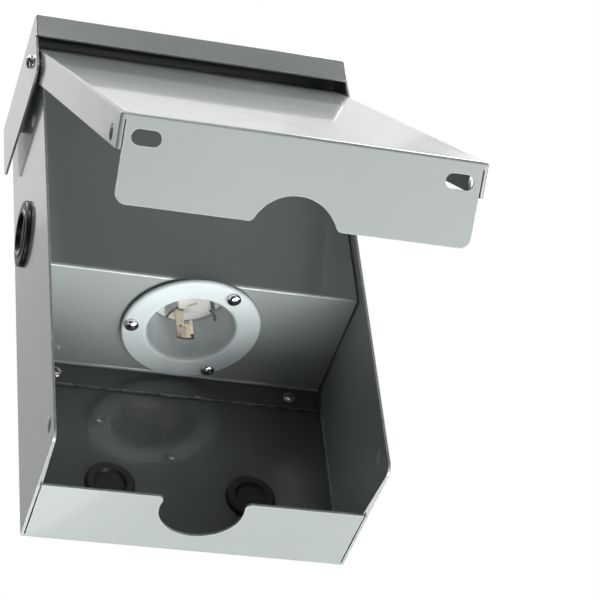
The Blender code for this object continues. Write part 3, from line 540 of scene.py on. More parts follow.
def soften(obj, width, segments=2, angle=40):
    """Rounds an object's sharp edges and gives it clean face-weighted normals."""
    bevel = obj.modifiers.new("edges", "BEVEL")
    bevel.width = width
    bevel.segments = segments
    bevel.limit_method = "ANGLE"
    bevel.angle_limit = math.radians(angle)
    bevel.use_clamp_overlap = True
    bevel.miter_outer = "MITER_ARC"
    obj.data.shade_smooth()
    normals = obj.modifiers.new("normals", "WEIGHTED_NORMAL")
    normals.weight = 80
    normals.keep_sharp = True
    bake(obj)


def smooth(obj, angle=35):
    obj.data.shade_smooth()
    obj.data.set_sharp_from_angle(angle=math.radians(angle))


def piece(obj, material, body, node):
    """Gives a finished object its material and its place in the frame."""
    obj.data.materials.clear()
    obj.data.materials.append(material)
    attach(obj, body)
    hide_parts(node)


def drill(centre, radius, length, axis, segments=48):
    """A round cutter along one axis."""
    bm = bmesh.new()
    bmesh.ops.create_cone(bm, cap_ends=True, segments=segments, radius1=radius, radius2=radius, depth=length)
    turns = {"X": Matrix.Rotation(math.pi / 2, 4, "Y"), "Y": Matrix.Rotation(math.pi / 2, 4, "X"),
             "Z": Matrix.Identity(4)}
    bmesh.ops.transform(bm, matrix=Matrix.Translation(centre) @ turns[axis], verts=bm.verts)
    return bm


def slice_faces(bm, point, normal):
    geometry = bm.verts[:] + bm.edges[:] + bm.faces[:]
    bmesh.ops.bisect_plane(bm, geom=geometry, dist=0.000001, plane_co=point, plane_no=normal)


def drop_faces(bm, unwanted):
    faces = [face for face in bm.faces if unwanted(face.normal, face.calc_center_median())]
    bmesh.ops.delete(bm, geom=faces, context="FACES")


def fold_edges(bm, keep_sharp=None):
    """Rounds the folds between flat faces."""
    bmesh.ops.dissolve_limit(bm, angle_limit=0.01, verts=bm.verts, edges=bm.edges)
    folds = []
    for edge in bm.edges:
        if len(edge.link_faces) != 2 or edge.calc_face_angle() < 0.05:
            continue
        if keep_sharp and keep_sharp((edge.verts[0].co + edge.verts[1].co) / 2):
            continue
        folds.append(edge)
    bmesh.ops.bevel(bm, geom=folds, offset=BEND, segments=BEND_STEPS, affect="EDGES", profile=0.5)


def thicken(name, bm):
    """Makes an open surface a sheet, with its outer side where the surface was."""
    obj = to_object(name, bm)
    modifier = obj.modifiers.new("sheet", "SOLIDIFY")
    modifier.thickness = SHEET
    modifier.offset = -1.0
    modifier.use_even_offset = True
    bake(obj)
    return obj


def corner_waste(y, z):
    """What lies outside the rounded front lower corner, at (y, z), of a wall or a flange."""
    out = 3 * MM
    rounded = arc((y + CORNER, z + CORNER), CORNER, -math.pi, -math.pi / 2, 12)
    return rounded + [(y + CORNER, z - out), (y - out, z - out), (y - out, z + CORNER)]


def notch_outline(edge_y, outward):
    """The cord notch, cut from an edge at edge_y; outward (1 or -1) is the way out of the sheet in Y."""
    edge = (edge_y - NOTCH_Y) * outward
    drop = edge - NOTCH_FILLET
    fillet_x = math.sqrt((NOTCH_RADIUS + NOTCH_FILLET) ** 2 - drop ** 2)
    touch = math.atan2(drop, fillet_x)
    half = [(fillet_x, edge + 6 * MM)]
    half += arc((fillet_x, drop), NOTCH_FILLET, math.pi / 2, math.pi + touch, 10)
    half += arc((0, 0), NOTCH_RADIUS, touch, -math.pi / 2, 30)[1:]
    whole = half + [(-x, v) for x, v in reversed(half[:-1])]
    return [(x, NOTCH_Y + v * outward) for x, v in whole]


# ---------------------------------------------------------------- sheets

def dimple_tools(side, place):
    """A pressed dimple's bump on the outside of a wall and its dent on the inside."""
    dome = [(DIMPLE_RADIUS * k / 10, DIMPLE_HEIGHT * (1 - (k / 10) ** 2.2) - 0.02 * MM) for k in range(11)]
    sunk = SHEET / 3
    bump = lathe_bmesh(dome + [(DIMPLE_RADIUS, -sunk), (0, -sunk)], 40)
    turn = Matrix.Rotation(side * math.pi / 2, 4, "Y")
    bmesh.ops.transform(bump, matrix=Matrix.Translation((side * HALF, *place)) @ turn, verts=bump.verts)
    inner = 0.88
    dent = lathe_bmesh([(inner * r, z) for r, z in dome] + [(inner * DIMPLE_RADIUS, -sunk), (0, -sunk)], 40)
    seat = Matrix.Translation((side * (HALF - SHEET), *place))
    bmesh.ops.transform(dent, matrix=seat @ turn, verts=dent.verts)
    return bump, dent


def pivot_relief():
    """The front upper corner of a wall, cut away so that the lid's top edge can swing in."""
    keep = PIVOT_Y + DEPTH
    swing = 13 * MM
    past = 5 * MM
    outline = [(-DEPTH - past, PIVOT_HEIGHT)]
    outline += arc((PIVOT_Y, PIVOT_HEIGHT), keep, math.pi, math.pi - MAX_ANGLE, 16)
    end_y = outline[-1][0] + swing * math.sin(MAX_ANGLE)
    end_z = outline[-1][1] + swing * math.cos(MAX_ANGLE)
    return outline + [(end_y, end_z), (end_y, HEIGHT + past), (-DEPTH - past, HEIGHT + past)]


def make_case(paint):
    bm = box_bmesh((-HALF, -DEPTH, 0), (HALF, 0, CASE_HEIGHT))
    opening = HALF - TOP_FLANGE
    slice_faces(bm, (0, -BOTTOM_PANEL, 0), (0, 1, 0))
    slice_faces(bm, (0, -TOP_FLANGE, 0), (0, 1, 0))
    slice_faces(bm, (opening, 0, 0), (1, 0, 0))
    slice_faces(bm, (-opening, 0, 0), (1, 0, 0))
    drop_faces(bm, lambda normal, centre: normal.y < -0.5)
    drop_faces(bm, lambda normal, centre: normal.z < -0.5 and centre.y < -BOTTOM_PANEL)
    drop_faces(bm, lambda normal, centre: normal.z > 0.5 and abs(centre.x) < opening
               and centre.y < -TOP_FLANGE)
    fold_edges(bm, keep_sharp=lambda middle: middle.z < 0.001 and abs(middle.x) > HALF - 0.001)
    case = thicken("case_sheet", bm)
    inside = HALF - SHEET
    tools = []
    # The bottom panel is folded up from the back wall alone, so a slit parts it from each side wall.
    for side in (-1, 1):
        slit = sorted((side * (inside - 0.1 * MM), side * (inside - 0.9 * MM)))
        tools.append(box_bmesh((slit[0], -BOTTOM_PANEL - 2 * MM, -2 * MM), (slit[1], -BEND - MM, 2 * MM)))
    tools.append(prism_bmesh(notch_outline(-BOTTOM_PANEL, -1), -3 * MM, 3 * MM))
    tools.append(prism_bmesh(pivot_relief(), -HALF - 2 * MM, HALF + 2 * MM, "X"))
    bumps = []
    for side in (-1, 1):
        wall = sorted((side * (HALF + 2 * MM), side * (inside - 2 * MM)))
        tools.append(prism_bmesh(corner_waste(-DEPTH, 0), wall[0], wall[1], "X"))
        tools.append(drill((side * HALF, PIVOT_Y, PIVOT_HEIGHT), PIVOT_HOLE, CLEAR, "X", 32))
        tools.append(drill((side * FLANGE_SCREW[0], 0, FLANGE_SCREW[1]), SMALL_HOLE, CLEAR, "Y", 32))
        tools.append(drill((side * BACK_PLUG[0], 0, BACK_PLUG[1]), BACK_PLUG_SIZE[1], CLEAR, "Y", 64))
        for height in MOUNT_HOLE_HEIGHTS:
            tools.append(drill((side * MOUNT_HOLE_X, 0, height), MOUNT_HOLE, CLEAR, "Y", 40))
        for place in (CATCH, UPPER_DIMPLE):
            bump, dent = dimple_tools(side, place)
            bumps.append(bump)
            tools.append(dent)
    tools.append(drill((-HALF, *SIDE_PLUG), SIDE_PLUG_SIZE[1], CLEAR, "X", 96))
    tools.append(drill((GROUND_SCREW[0], 0, GROUND_SCREW[1]), SCREW_HOLE, CLEAR, "Y", 32))
    cut(case, bumps, "UNION")
    cut(case, tools)
    clean(case)
    case.data.transform(UPRIGHT)
    soften(case, EDGE)
    piece(case, paint, "case", "body_shell")


def taper_waste():
    """What lies below a hood flange's rising rear part and outside its rounded rear corner."""
    bottom = HEIGHT - HOOD_SIDE
    centre = (-HOOD_REAR_RADIUS, bottom + HOOD_RISE + HOOD_REAR_RADIUS)
    out = 3 * MM
    rounded = arc(centre, HOOD_REAR_RADIUS, -math.pi / 2, 0, 12)
    outside = [(out, centre[1]), (out, bottom - out), (-HOOD_TAPER, bottom - out)]
    return [(-HOOD_TAPER, bottom)] + rounded + outside


def make_hood(paint):
    half = HOOD_WIDTH / 2
    bm = box_bmesh((-half, -HOOD_DEPTH, HEIGHT - HOOD_SIDE), (half, 0, HEIGHT))
    front_edge = HEIGHT - HOOD_FRONT
    slice_faces(bm, (0, 0, front_edge), (0, 0, 1))
    drop_faces(bm, lambda normal, centre: normal.y > 0.5 or normal.z < -0.5)
    drop_faces(bm, lambda normal, centre: normal.y < -0.5 and centre.z < front_edge)
    fold_edges(bm)
    hood = thicken("hood_sheet", bm)
    tools = []
    for side in (-1, 1):
        wall = sorted((side * (half + 2 * MM), side * (half - 4 * MM)))
        waste = corner_waste(-HOOD_DEPTH, HEIGHT - HOOD_SIDE)
        tools.append(prism_bmesh(waste, wall[0], wall[1], "X"))
        tools.append(prism_bmesh(taper_waste(), wall[0], wall[1], "X"))
        tools.append(drill((side * half, PIVOT_Y, PIVOT_HEIGHT), PIVOT_HOLE, CLEAR, "X", 32))
    cut(hood, tools)
    clean(hood)
    hood.data.transform(UPRIGHT)
    soften(hood, EDGE)
    piece(hood, paint, "case", "top_hood")


def make_lid(paint):
    half = LID_WIDTH / 2
    bm = box_bmesh((-half, LID_FACE, LID_BOTTOM), (half, LID_FACE + LID_FLANGE, LID_TOP))
    side_end = LID_FACE + LID_SIDE
    slice_faces(bm, (0, side_end, 0), (0, 1, 0))
    drop_faces(bm, lambda normal, centre: normal.y > 0.5 or normal.z > 0.5)
    drop_faces(bm, lambda normal, centre: abs(normal.x) > 0.5 and centre.y > side_end)
    fold_edges(bm)
    lid = thicken("lid_sheet", bm)
    thin = (LID_BOTTOM - 2 * MM, LID_BOTTOM + 2.4 * MM)
    rear = LID_FACE + LID_FLANGE
    edge = LID_FLANGE_HALF
    step = side_end - 0.1 * MM
    corner = (edge - CORNER, rear - CORNER)
    tools = []
    for side in (-1, 1):
        waste = [(edge + 8 * MM, step), (edge + LID_SLIT, step), (edge + LID_SLIT, LID_FACE + LID_SLIT_START),
                 (edge, LID_FACE + LID_SLIT_START)]
        waste += arc(corner, CORNER, 0, math.pi / 2, 12)
        waste += [(corner[0], rear + 4 * MM), (edge + 8 * MM, rear + 4 * MM)]
        tools.append(prism_bmesh([(side * x, y) for x, y in waste], *thin))
        middle = side * LID_SLOT[0]
        slot = arc((middle + LID_SLOT_REACH, LID_SLOT[1]), LID_SLOT_RADIUS, -math.pi / 2, math.pi / 2, 16)
        slot += arc((middle - LID_SLOT_REACH, LID_SLOT[1]), LID_SLOT_RADIUS, math.pi / 2, 3 * math.pi / 2, 16)
        tools.append(prism_bmesh(slot, *thin))
        tools.append(drill((side * half, PIVOT_Y, PIVOT_HEIGHT), PIVOT_HOLE, CLEAR, "X", 32))
        tools.append(drill((side * half, *CATCH), CATCH_HOLE, CLEAR, "X", 48))
    tools.append(prism_bmesh(notch_outline(rear, 1), *thin))
    cut(lid, tools)
    clean(lid)
    lid.data.transform(LID_PLACE)
    soften(lid, EDGE)
    piece(lid, paint, "lid", "lid")


def make_bracket(paint):
    half = HALF - SHEET - SIDE_SLIT
    profile = [(BRACKET_FRONT + BRACKET_RETURN, BRACKET_TOP), (BRACKET_FRONT, BRACKET_TOP),
               (BRACKET_FRONT, SHELF_FRONT), (REAR_FLANGE, SHELF_REAR), (REAR_FLANGE, REAR_FLANGE_BOTTOM)]
    bm = bmesh.new()
    left = [bm.verts.new((-half, y, z)) for y, z in profile]
    for first, second in zip(left, left[1:]):
        bm.edges.new((first, second))
    swept = bmesh.ops.extrude_edge_only(bm, edges=bm.edges[:])
    moved = [item for item in swept["geom"] if isinstance(item, bmesh.types.BMVert)]
    bmesh.ops.translate(bm, vec=(2 * half, 0, 0), verts=moved)
    bmesh.ops.recalc_face_normals(bm, faces=bm.faces)
    bm.faces.ensure_lookup_table()
    panel = max(bm.faces, key=lambda face: face.calc_area())
    if panel.normal.y > 0:
        bmesh.ops.reverse_faces(bm, faces=bm.faces)
    fold_edges(bm)
    bracket = thicken("bracket_sheet", bm)
    bracket.data.transform(UPRIGHT)
    tools = [drill((0, 0, 0), CUP_OUTER + 0.6 * MM, 10 * MM, "Z", 96)]
    for angle in RING_SCREWS:
        tools.append(drill(on_circle(SCREW_CIRCLE, angle, 0), SMALL_HOLE, CLEAR, "Z", 32))
    for tool in tools:
        bmesh.ops.transform(tool, matrix=INLET_PLACE, verts=tool.verts)
    for side in (-1, 1):
        spot = (side * FLANGE_SCREW[0], REAR_FLANGE, FLANGE_SCREW[1] + FLOOR)
        tools.append(drill(spot, SMALL_HOLE, CLEAR, "Y", 32))
    past = 5 * MM
    for side in (-1, 1):
        reach = sorted((side * NUT_NOTCH_X, side * (half + past)))
        notch = box_bmesh((reach[0], BRACKET_FRONT - past, NUT_NOTCH_BOTTOM + FLOOR),
                          (reach[1], BRACKET_FRONT + 3 * past, BRACKET_TOP + past + FLOOR))
        tools.append(notch)
    cut(bracket, tools)
    clean(bracket)
    soften(bracket, EDGE)
    piece(bracket, paint, "case", "inlet_bracket")


# ---------------------------------------------------------------- inlet

def on_circle(radius, degrees, height):
    turn = math.radians(degrees)
    return (radius * math.cos(turn), radius * math.sin(turn), height)


def make_ring(nylon, shroud):
    """The white flange ring with its rolled inner lip, and the grey shroud that lines the recess."""
    lip = MOUTH - 0.5 * MM
    seam = RING_FACE + 2.2 * MM
    rim = [(RING_RADIUS, RING_TOP, 0.3 * MM), (RING_RADIUS, RING_FACE, 1.7 * MM)]
    mouth = [(MOUTH + 1.2 * MM, RING_FACE, 0.8 * MM), (MOUTH, RING_FACE + 0.6 * MM, 0.9 * MM), (lip, seam)]
    back = [(CUP_OUTER, seam), (CUP_OUTER, RING_TOP)]
    profile = filleted(rim + mouth + back, 8, closed=True)
    ring = to_object("inlet_ring", lathe_bmesh(profile, 159))
    holes = []
    for angle in RING_SCREWS:
        holes.append(drill(on_circle(SCREW_CIRCLE, angle, RING_FACE), SCREW_HOLE, 2 * CLEAR, "Z", 32))
    cut(ring, holes)
    clean(ring, 0.001)
    ring.data.transform(INLET_PLACE)
    smooth(ring, 40)
    piece(ring, nylon, "case", "inlet_housing")
    outer = CUP_OUTER - 0.1 * MM
    inner = BASE_RADIUS + GAP
    lining = [(outer, seam), (lip, seam), (inner, BASE_FACE - MM, 4 * MM), (inner, CUP_BACK)]
    outside = [(CUP_OUTER - 0.4 * MM, CUP_BACK, 0.5 * MM), (outer, 0)]
    profile = filleted(lining + outside, 6, closed=True)
    liner = to_object("inlet_shroud", lathe_bmesh(profile, 128), INLET_PLACE)
    smooth(liner, 40)
    piece(liner, shroud, "case", "inlet_housing")


def make_gasket(rubber):
    inner = CUP_OUTER + 0.5 * MM
    outer = RING_RADIUS - 1.0 * MM
    low = -1.1 * MM
    high = -0.3 * MM
    soft = 0.2 * MM
    profile = filleted([(outer, high, soft), (outer, low, soft), (inner, low, soft), (inner, high, soft)], 3,
                       closed=True)
    gasket = to_object("gasket_sheet", lathe_bmesh(profile, 96), INLET_PLACE)
    smooth(gasket)
    piece(gasket, rubber, "case", "inlet_gasket")


def wrapped_bmesh(radius, start, end, low, high, columns, rows, keep=None):
    """A grid wrapped round the inlet's axis, less the faces that keep turns down."""
    bm = bmesh.new()
    bmesh.ops.create_grid(bm, x_segments=columns, y_segments=rows, size=0.5)
    if keep:
        spare = [face for face in bm.faces if not keep(face.calc_center_median())]
        bmesh.ops.delete(bm, geom=spare, context="FACES")
    for vert in bm.verts:
        turn = start + (end - start) * (vert.co.x + 0.5)
        height = low + (high - low) * (vert.co.y + 0.5)
        vert.co = (radius * math.cos(turn), radius * math.sin(turn), height)
    return bm


def wrapped_object(name, bm, thickness):
    """Makes a wrapped grid a plate of this thickness, half on each side of the grid."""
    obj = to_object(name, bm)
    modifier = obj.modifiers.new("sheet", "SOLIDIFY")
    modifier.thickness = thickness
    modifier.offset = 0.0
    modifier.use_even_offset = True
    bake(obj)
    return obj


def as_tool(obj):
    """Takes an object's mesh as a cutter and removes the object."""
    tool = bmesh.new()
    tool.from_mesh(obj.data)
    bpy.data.objects.remove(obj, do_unlink=True)
    return tool


def blade_slot(degrees):
    """The cutter for a blade's slot in the base, with some room round the blade's neck."""
    centre = math.radians(degrees)
    spare = BLADE_ROOM / BLADE_CIRCLE
    bm = wrapped_bmesh(BLADE_CIRCLE, centre - spare, centre + BLADE_SPAN / 2 + spare, BASE_FACE - 2 * MM,
                       BASE_BACK + 2 * MM, 10, 1)
    return as_tool(wrapped_object("slot_tool", bm, BLADE_THICK + 2 * BLADE_ROOM))


def make_base(ivory):
    soft = 0.5 * MM
    profile = filleted([(0, BASE_BACK), (BASE_RADIUS, BASE_BACK, 0.2 * MM), (BASE_RADIUS, BASE_FACE, soft),
                        (17.2 * MM, BASE_FACE, 0.1 * MM), (16.9 * MM, BASE_FACE + 0.5 * MM, 0.1 * MM),
                        (16.0 * MM, BASE_FACE + 0.5 * MM, 0.1 * MM), (15.7 * MM, BASE_FACE, 0.1 * MM),
                        (0, BASE_FACE)], 4)
    base = to_object("inlet_base_disc", lathe_bmesh(profile, 96))
    boss = lathe_bmesh(filleted([(0, -BOSS_HEIGHT), (BOSS_RADIUS, -BOSS_HEIGHT, 0.4 * MM),
                                 (BOSS_RADIUS, BOSS_HEIGHT), (0, BOSS_HEIGHT)]), 48)
    seat = on_circle(*WELL, BASE_FACE)
    bmesh.ops.translate(boss, vec=seat, verts=boss.verts)
    cut(base, [boss], "UNION")
    tools = [blade_slot(degrees) for _, degrees in BLADES]
    tools.append(drill(seat, WELL_RADIUS, 10 * MM, "Z", 40))
    first, last = (math.radians(end) for end in MARK_ENDS)
    mark = arc((0, 0), MARK_CIRCLE + MARK_WIDTH / 2, first, last, 12)
    mark += arc((0, 0), MARK_CIRCLE - MARK_WIDTH / 2, last, first, 12)
    tools.append(prism_bmesh(mark, BASE_FACE - MARK_DEPTH, BASE_FACE + MARK_DEPTH))
    cut(base, tools)
    clean(base)
    base.data.transform(INLET_PLACE)
    soften(base, 0.12 * MM)
    piece(base, ivory, "case", "inlet_base")


def make_blade(name, node, degrees, metal):
    """A locking blade: a narrow neck from the base and a wide tip; the ground blade's tip is hooked."""
    centre = math.radians(degrees)
    start = centre - BLADE_SPAN / 2
    end = centre + BLADE_SPAN / 2
    tip = (BLADE_ROOT - BLADE_TIP) / 3
    bm = wrapped_bmesh(BLADE_CIRCLE, start, end, BLADE_TIP, BLADE_ROOT, 16, 15,
                       lambda middle: middle.y < 1 / 3 - 0.5 or middle.x > 0)
    blade = wrapped_object(name, bm, BLADE_THICK)
    half = BLADE_THICK / 2
    tools = []
    if node == "blade_ground":
        turn = start + half / BLADE_CIRCLE
        hook = box_bmesh((-half - GROUND_HOOK, -half, 0), (0.4 * half, half, tip - 0.4 * MM))
        place = Matrix.Translation(on_circle(BLADE_CIRCLE, math.degrees(turn), BLADE_TIP + 0.2 * MM))
        bmesh.ops.transform(hook, matrix=place @ Matrix.Rotation(turn, 4, "Z"), verts=hook.verts)
        cut(blade, [hook], "UNION")
        crease = wrapped_bmesh(BLADE_CIRCLE - half, centre - 0.02, centre + 0.02, BLADE_TIP - MM,
                               BLADE_TIP + 0.8 * tip, 2, 1)
        tools.append(as_tool(wrapped_object("crease_tool", crease, 1.1 * half)))
    hole_at = degrees + 10
    spot = Matrix.Translation(on_circle(BLADE_CIRCLE, hole_at, BLADE_TIP + tip - 1.6 * MM))
    hole = drill((0, 0, 0), 0.8 * MM, 4 * MM, "X", 24)
    bmesh.ops.transform(hole, matrix=spot @ Matrix.Rotation(math.radians(hole_at), 4, "Z"), verts=hole.verts)
    tools.append(hole)
    cut(blade, tools)
    clean(blade, 0.002)
    blade.data.transform(INLET_PLACE)
    soften(blade, 0.24 * MM, 3)
    piece(blade, metal, "case", node)


# ---------------------------------------------------------------- fixings

def cross_tools(radius, height):
    """The two tapered wings of a cross recess."""
    tools = []
    for turn in (0, math.pi / 2):
        bm = box_bmesh((-0.58 * radius, -0.12 * radius, 0.1 * height),
                       (0.58 * radius, 0.12 * radius, 1.6 * height))
        for vert in bm.verts:
            if vert.co.z < height:
                vert.co.x *= 0.42
                vert.co.y *= 0.75
        bmesh.ops.rotate(bm, matrix=Matrix.Rotation(turn, 3, "Z"), verts=bm.verts)
        tools.append(bm)
    return tools


def make_screw(name, node, material, place, size, length, drive="cross"):
    """A pan-head screw; its head stands along +Z of place."""
    radius, height, shank = size
    dome = []
    for step in range(9):
        turn = math.pi / 2 * (1 - step / 8)
        dome.append((radius * (math.cos(turn) ** 0.85), height * (0.32 + 0.68 * math.sin(turn) ** 1.1)))
    profile = dome[:-1] + filleted([(radius * 0.999, height * 0.32), (radius, height * 0.3),
                                    (radius, 0, 0.18 * MM), (shank, 0), (shank, -length), (0, -length)], 3)
    screw = to_object(name, lathe_bmesh(profile, 48))
    if drive == "cross":
        cut(screw, cross_tools(radius, height))
    if drive == "slot":
        cut(screw, [box_bmesh((-1.3 * radius, -0.13 * radius, 0.45 * height),
                              (1.3 * radius, 0.13 * radius, 1.6 * height))])
    clean(screw, 0.001)
    screw.data.transform(place)
    smooth(screw, 32)
    piece(screw, material, "case", node)


def stepped_face(lip, height):
    """The side plug's face: a dish with a raised rim, a groove and a rounded lip."""
    dish = 0.66 * lip
    floor = 0.25 * height
    ledge = 0.82 * height
    return [(0, floor), (dish - 1.2 * MM, floor, 0.3 * MM), (dish - 0.3 * MM, height, 0.35 * MM),
            (dish + 0.9 * MM, height, 0.3 * MM), (dish + 1.3 * MM, ledge, 0.2 * MM),
            (lip - 1.9 * MM, ledge, 0.4 * MM), (lip, 0.72 * height, 0.32 * height)]


def plain_face(lip, height):
    """A back plug's face: a dish in one broad rounded lip."""
    dish = 0.66 * lip
    floor = 0.25 * height
    return [(0, floor), (dish - 1.2 * MM, floor, 0.3 * MM), (dish, height, 0.4 * MM),
            (lip - 0.9 * MM, height, 0.8 * MM), (lip, 0.5 * height, 0.5 * MM)]


def make_plug(name, node, material, place, size, face, soft):
    """A press-in hole plug: its face, the lip's underside and a barrel whose end is rounded by soft."""
    lip, hole, height, depth = size
    barrel = hole - GAP
    underside = [(lip, 0, 0.15 * MM), (barrel, 0), (barrel, -depth, soft), (0, -depth)]
    profile = face(lip, height) + underside
    plug = to_object(name, lathe_bmesh(filleted(profile, 6), 96), place)
    smooth(plug, 50)
    piece(plug, material, "case", node)


def make_nut(name, node, material, place):
    """A hexagon nut with a chamfered outer face."""
    outline = [on_circle(NUT_CORNER, 60 * corner, 0)[:2] for corner in range(6)]
    nut = to_object(name, prism_bmesh(outline, 0, NUT_HEIGHT))
    chamfer = lathe_bmesh([(6 * MM, 4 * MM), (2.4 * MM, 4 * MM), (2.4 * MM, 3.35 * MM), (3.9 * MM, 2.5 * MM),
                           (6 * MM, 2.5 * MM)], 48)
    cut(nut, [chamfer, drill((0, 0, 0), PIVOT_RADIUS + 0.1 * MM, 12 * MM, "Z", 32)])
    nut.data.transform(place)
    smooth(nut, 30)
    piece(nut, material, "case", node)


def make_fixings(steel, chrome, zinc, green, black, rubber):
    for index, degrees in enumerate(RING_SCREWS):
        spot = Matrix.Translation(on_circle(SCREW_CIRCLE, degrees, RING_FACE - GAP))
        turn = Matrix.Rotation(math.pi, 4, "X") @ Matrix.Rotation(math.radians(25 + 37 * index), 4, "Z")
        make_screw(f"ring_screw_head_{index + 1}", f"ring_screw_{index + 1}", chrome,
                   INLET_PLACE @ spot @ turn, RING_SCREW_SIZE, RING_SCREW_LENGTH)
    facing = Matrix.Rotation(math.pi / 2, 4, "X")
    for side, word in ((-1, "left"), (1, "right")):
        seat = REAR_FLANGE - GAP
        spot = Matrix.Translation((side * FLANGE_SCREW[0], seat, FLANGE_SCREW[1]))
        spin = Matrix.Rotation(0.5 + side, 4, "Z")
        make_screw("flange_screw_" + word, "bracket_screw_" + word, zinc, UPRIGHT @ spot @ facing @ spin,
                   BRACKET_SCREW_SIZE, -seat - 0.2 * MM)
        spot = Matrix.Translation((side * BACK_PLUG[0], -SHEET - GAP, BACK_PLUG[1]))
        make_plug("wall_plug_" + word, "back_plug_" + word, rubber, UPRIGHT @ spot @ facing,
                  BACK_PLUG_SIZE, plain_face, 0.2 * MM)
        seat = HOOD_WIDTH / 2 + GAP
        inside = HALF - SHEET - GAP
        outward = Matrix.Rotation(side * math.pi / 2, 4, "Y")
        spot = Matrix.Translation((side * seat, PIVOT_Y, PIVOT_HEIGHT))
        make_screw("hinge_screw_" + word, "pivot_screw_" + word, steel,
                   UPRIGHT @ spot @ outward @ Matrix.Rotation(0.35, 4, "Z"), PIVOT_SCREW_SIZE,
                   seat - inside + PIVOT_SCREW_END)
        inward = Matrix.Rotation(-side * math.pi / 2, 4, "Y")
        spot = Matrix.Translation((side * inside, PIVOT_Y, PIVOT_HEIGHT))
        make_nut("hinge_nut_" + word, "pivot_nut_" + word, steel, UPRIGHT @ spot @ inward)
    place = UPRIGHT @ Matrix.Translation((-HALF - GAP, *SIDE_PLUG)) @ Matrix.Rotation(-math.pi / 2, 4, "Y")
    make_plug("wall_plug_side", "side_plug", black, place, SIDE_PLUG_SIZE, stepped_face, 0.3 * MM)
    place = UPRIGHT @ Matrix.Translation((GROUND_SCREW[0], -SHEET - GAP, GROUND_SCREW[1])) @ facing
    make_screw("earth_screw", "ground_screw", green, place, GROUND_SCREW_SIZE, SHEET + GAP - 0.2 * MM, "slot")


# ---------------------------------------------------------------- studio

def softbox(name, azimuth, elevation, power, size):
    """A round soft light on the sphere round the box, which the camera doesn't see."""
    light = bpy.data.lights.new(name, "AREA")
    light.shape = "DISK"
    light.size = size
    light.energy = power
    obj = bpy.data.objects.new(name, light)
    scene.collection.objects.link(obj)
    turn = math.radians(azimuth)
    lift = math.radians(elevation)
    away = Vector((math.sin(turn) * math.cos(lift), -math.cos(turn) * math.cos(lift), math.sin(lift)))
    obj.location = Vector(LIGHT_AIM) + away * LIGHT_DISTANCE
    obj.rotation_euler = (-away).to_track_quat("-Z", "Y").to_euler()
    obj.visible_camera = False


def make_world():
    """A plain white backdrop that itself gives only a faint fill light."""
    world = bpy.data.worlds.new("studio")
    world.use_nodes = True
    scene.world = world
    tree = world.node_tree
    background = tree.nodes["Background"]
    background.inputs["Color"].default_value = (1, 1, 1, 1)
    path = tree.nodes.new("ShaderNodeLightPath")
    seen = tree.nodes.new("ShaderNodeMapRange")
    tree.links.new(path.outputs["Is Camera Ray"], seen.inputs["Value"])
    seen.inputs["To Min"].default_value = WORLD_FILL
    seen.inputs["To Max"].default_value = 1.0
    tree.links.new(seen.outputs["Result"], background.inputs["Strength"])


def make_floor():
    """A pale floor far below the box, which glows a little and throws no light back on it."""
    bm = bmesh.new()
    bmesh.ops.create_circle(bm, cap_ends=True, radius=STUDIO_RADIUS, segments=96)
    floor = to_object("studio_floor", bm, Matrix.Translation((0, 0, STUDIO_FLOOR)))
    n = Nodes("pale_floor")
    tint = n.mix(n.range(n.noise(3, 2), 0.4, 0.6, 0, 1), (0.885, 0.885, 0.885), (0.9, 0.9, 0.9))
    n.set(color=tint, roughness=0.7)
    n.link(tint, n.shader.inputs["Emission Color"])
    n.shader.inputs["Emission Strength"].default_value = FLOOR_GLOW
    floor.data.materials.append(n.material)
    floor.visible_diffuse = False
    floor.visible_glossy = False


def make_camera():
    camera = bpy.data.objects.new("camera", bpy.data.cameras.new("camera"))
    scene.collection.objects.link(camera)
    level = math.cos(CAMERA_ELEVATION)
    forward = Vector((-math.sin(CAMERA_AZIMUTH) * level, math.cos(CAMERA_AZIMUTH) * level,
                      -math.sin(CAMERA_ELEVATION)))
    right = Vector((math.cos(CAMERA_AZIMUTH), math.sin(CAMERA_AZIMUTH), 0))
    right = Matrix.Rotation(CAMERA_ROLL, 4, -forward) @ right
    up = right.cross(forward)
    place = Matrix.Translation(Vector(CAMERA_TARGET) - forward * CAMERA_DISTANCE)
    camera.matrix_world = place @ Matrix((right, up, -forward)).transposed().to_4x4()
    camera.data.sensor_width = CAMERA_SENSOR
    camera.data.lens = CAMERA_LENS
    camera.data.clip_start = CAMERA_CLIP
    scene.camera = camera


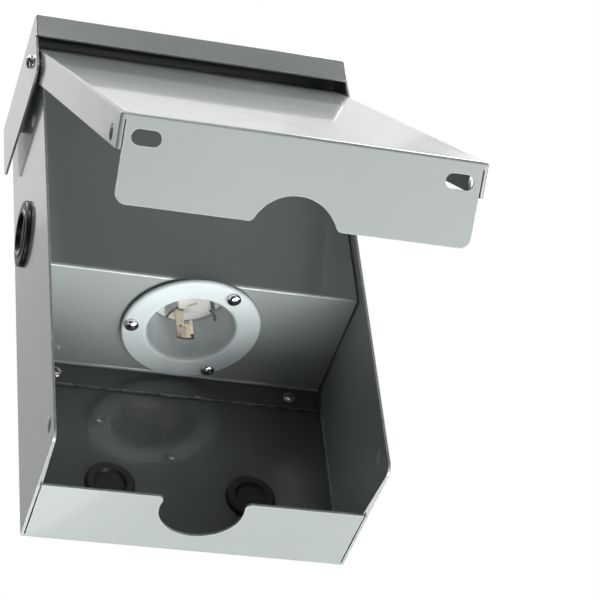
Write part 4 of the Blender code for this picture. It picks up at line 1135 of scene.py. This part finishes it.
def main():
    # Painted shade darkens the lower back wall and rear flange, the inside of the hood and the bracket's
    # front panel.
    case_paint = paint_material("look_case_paint", (0.285, 0.312, 0.298), [(LOWER_BACK, 0.8)])
    hood_paint = paint_material("look_hood_paint", (0.285, 0.308, 0.292), [(HOOD_INSIDE, 0.85)])
    lid_paint = paint_material("look_lid_paint", (0.288, 0.315, 0.302))
    bracket_paint = paint_material("look_bracket_paint", (0.28, 0.308, 0.294),
                                   [(LOWER_BACK, 0.8), (PANEL, 0.38)])
    nylon = nylon_material()
    ivory = ivory_material()
    shroud = shroud_material()
    brass = metal_material("look_plated_brass", (0.72, 0.65, 0.54), 0.2, (1, 1, 14), (0.46, 0.37, 0.27))
    steel = metal_material("look_plated_steel", (0.66, 0.65, 0.63), 0.24)
    chrome = metal_material("look_chrome", (0.88, 0.89, 0.9), 0.1, (1, 1, 1))
    zinc = metal_material("look_zinc", (0.66, 0.66, 0.67), 0.26, (1, 1, 3))
    green = metal_material("look_green_ground", (0.06, 0.32, 0.12), 0.3)
    black = plastic_material("look_black_plastic", (0.012, 0.012, 0.013), 0.36, 700, 0.00002, 0.08)
    rubber = plastic_material("look_black_rubber", (0.026, 0.027, 0.026), 0.5, 1100, 0.00004)
    washer = plastic_material("look_washer_nylon", (0.7, 0.7, 0.67), 0.4)
    cover = plastic_material("look_cover_plastic", (0.04, 0.04, 0.042), 0.45)

    make_case(case_paint)
    make_hood(hood_paint)
    make_lid(lid_paint)
    make_bracket(bracket_paint)
    make_ring(nylon, shroud)
    make_gasket(rubber)
    make_base(ivory)
    for node, degrees in BLADES:
        metal = brass if node == "blade_ground" else steel
        make_blade(node.replace("blade", "contact"), node, degrees, metal)
    make_fixings(steel, chrome, zinc, green, black, rubber)
    kept = {"inlet_rear_cover": cover, "terminal_screw_1": steel, "terminal_screw_2": brass,
            "terminal_screw_3": brass, "cover_screw_1": steel, "cover_screw_2": steel,
            "pivot_washer_left": washer, "pivot_washer_right": washer}
    for node, material in kept.items():
        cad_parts[node].data.materials.clear()
        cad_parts[node].data.materials.append(material)

    make_floor()
    make_world()
    for light in LIGHTS:
        softbox(*light)
    make_camera()
    scene.view_settings.view_transform = "Standard"


main()
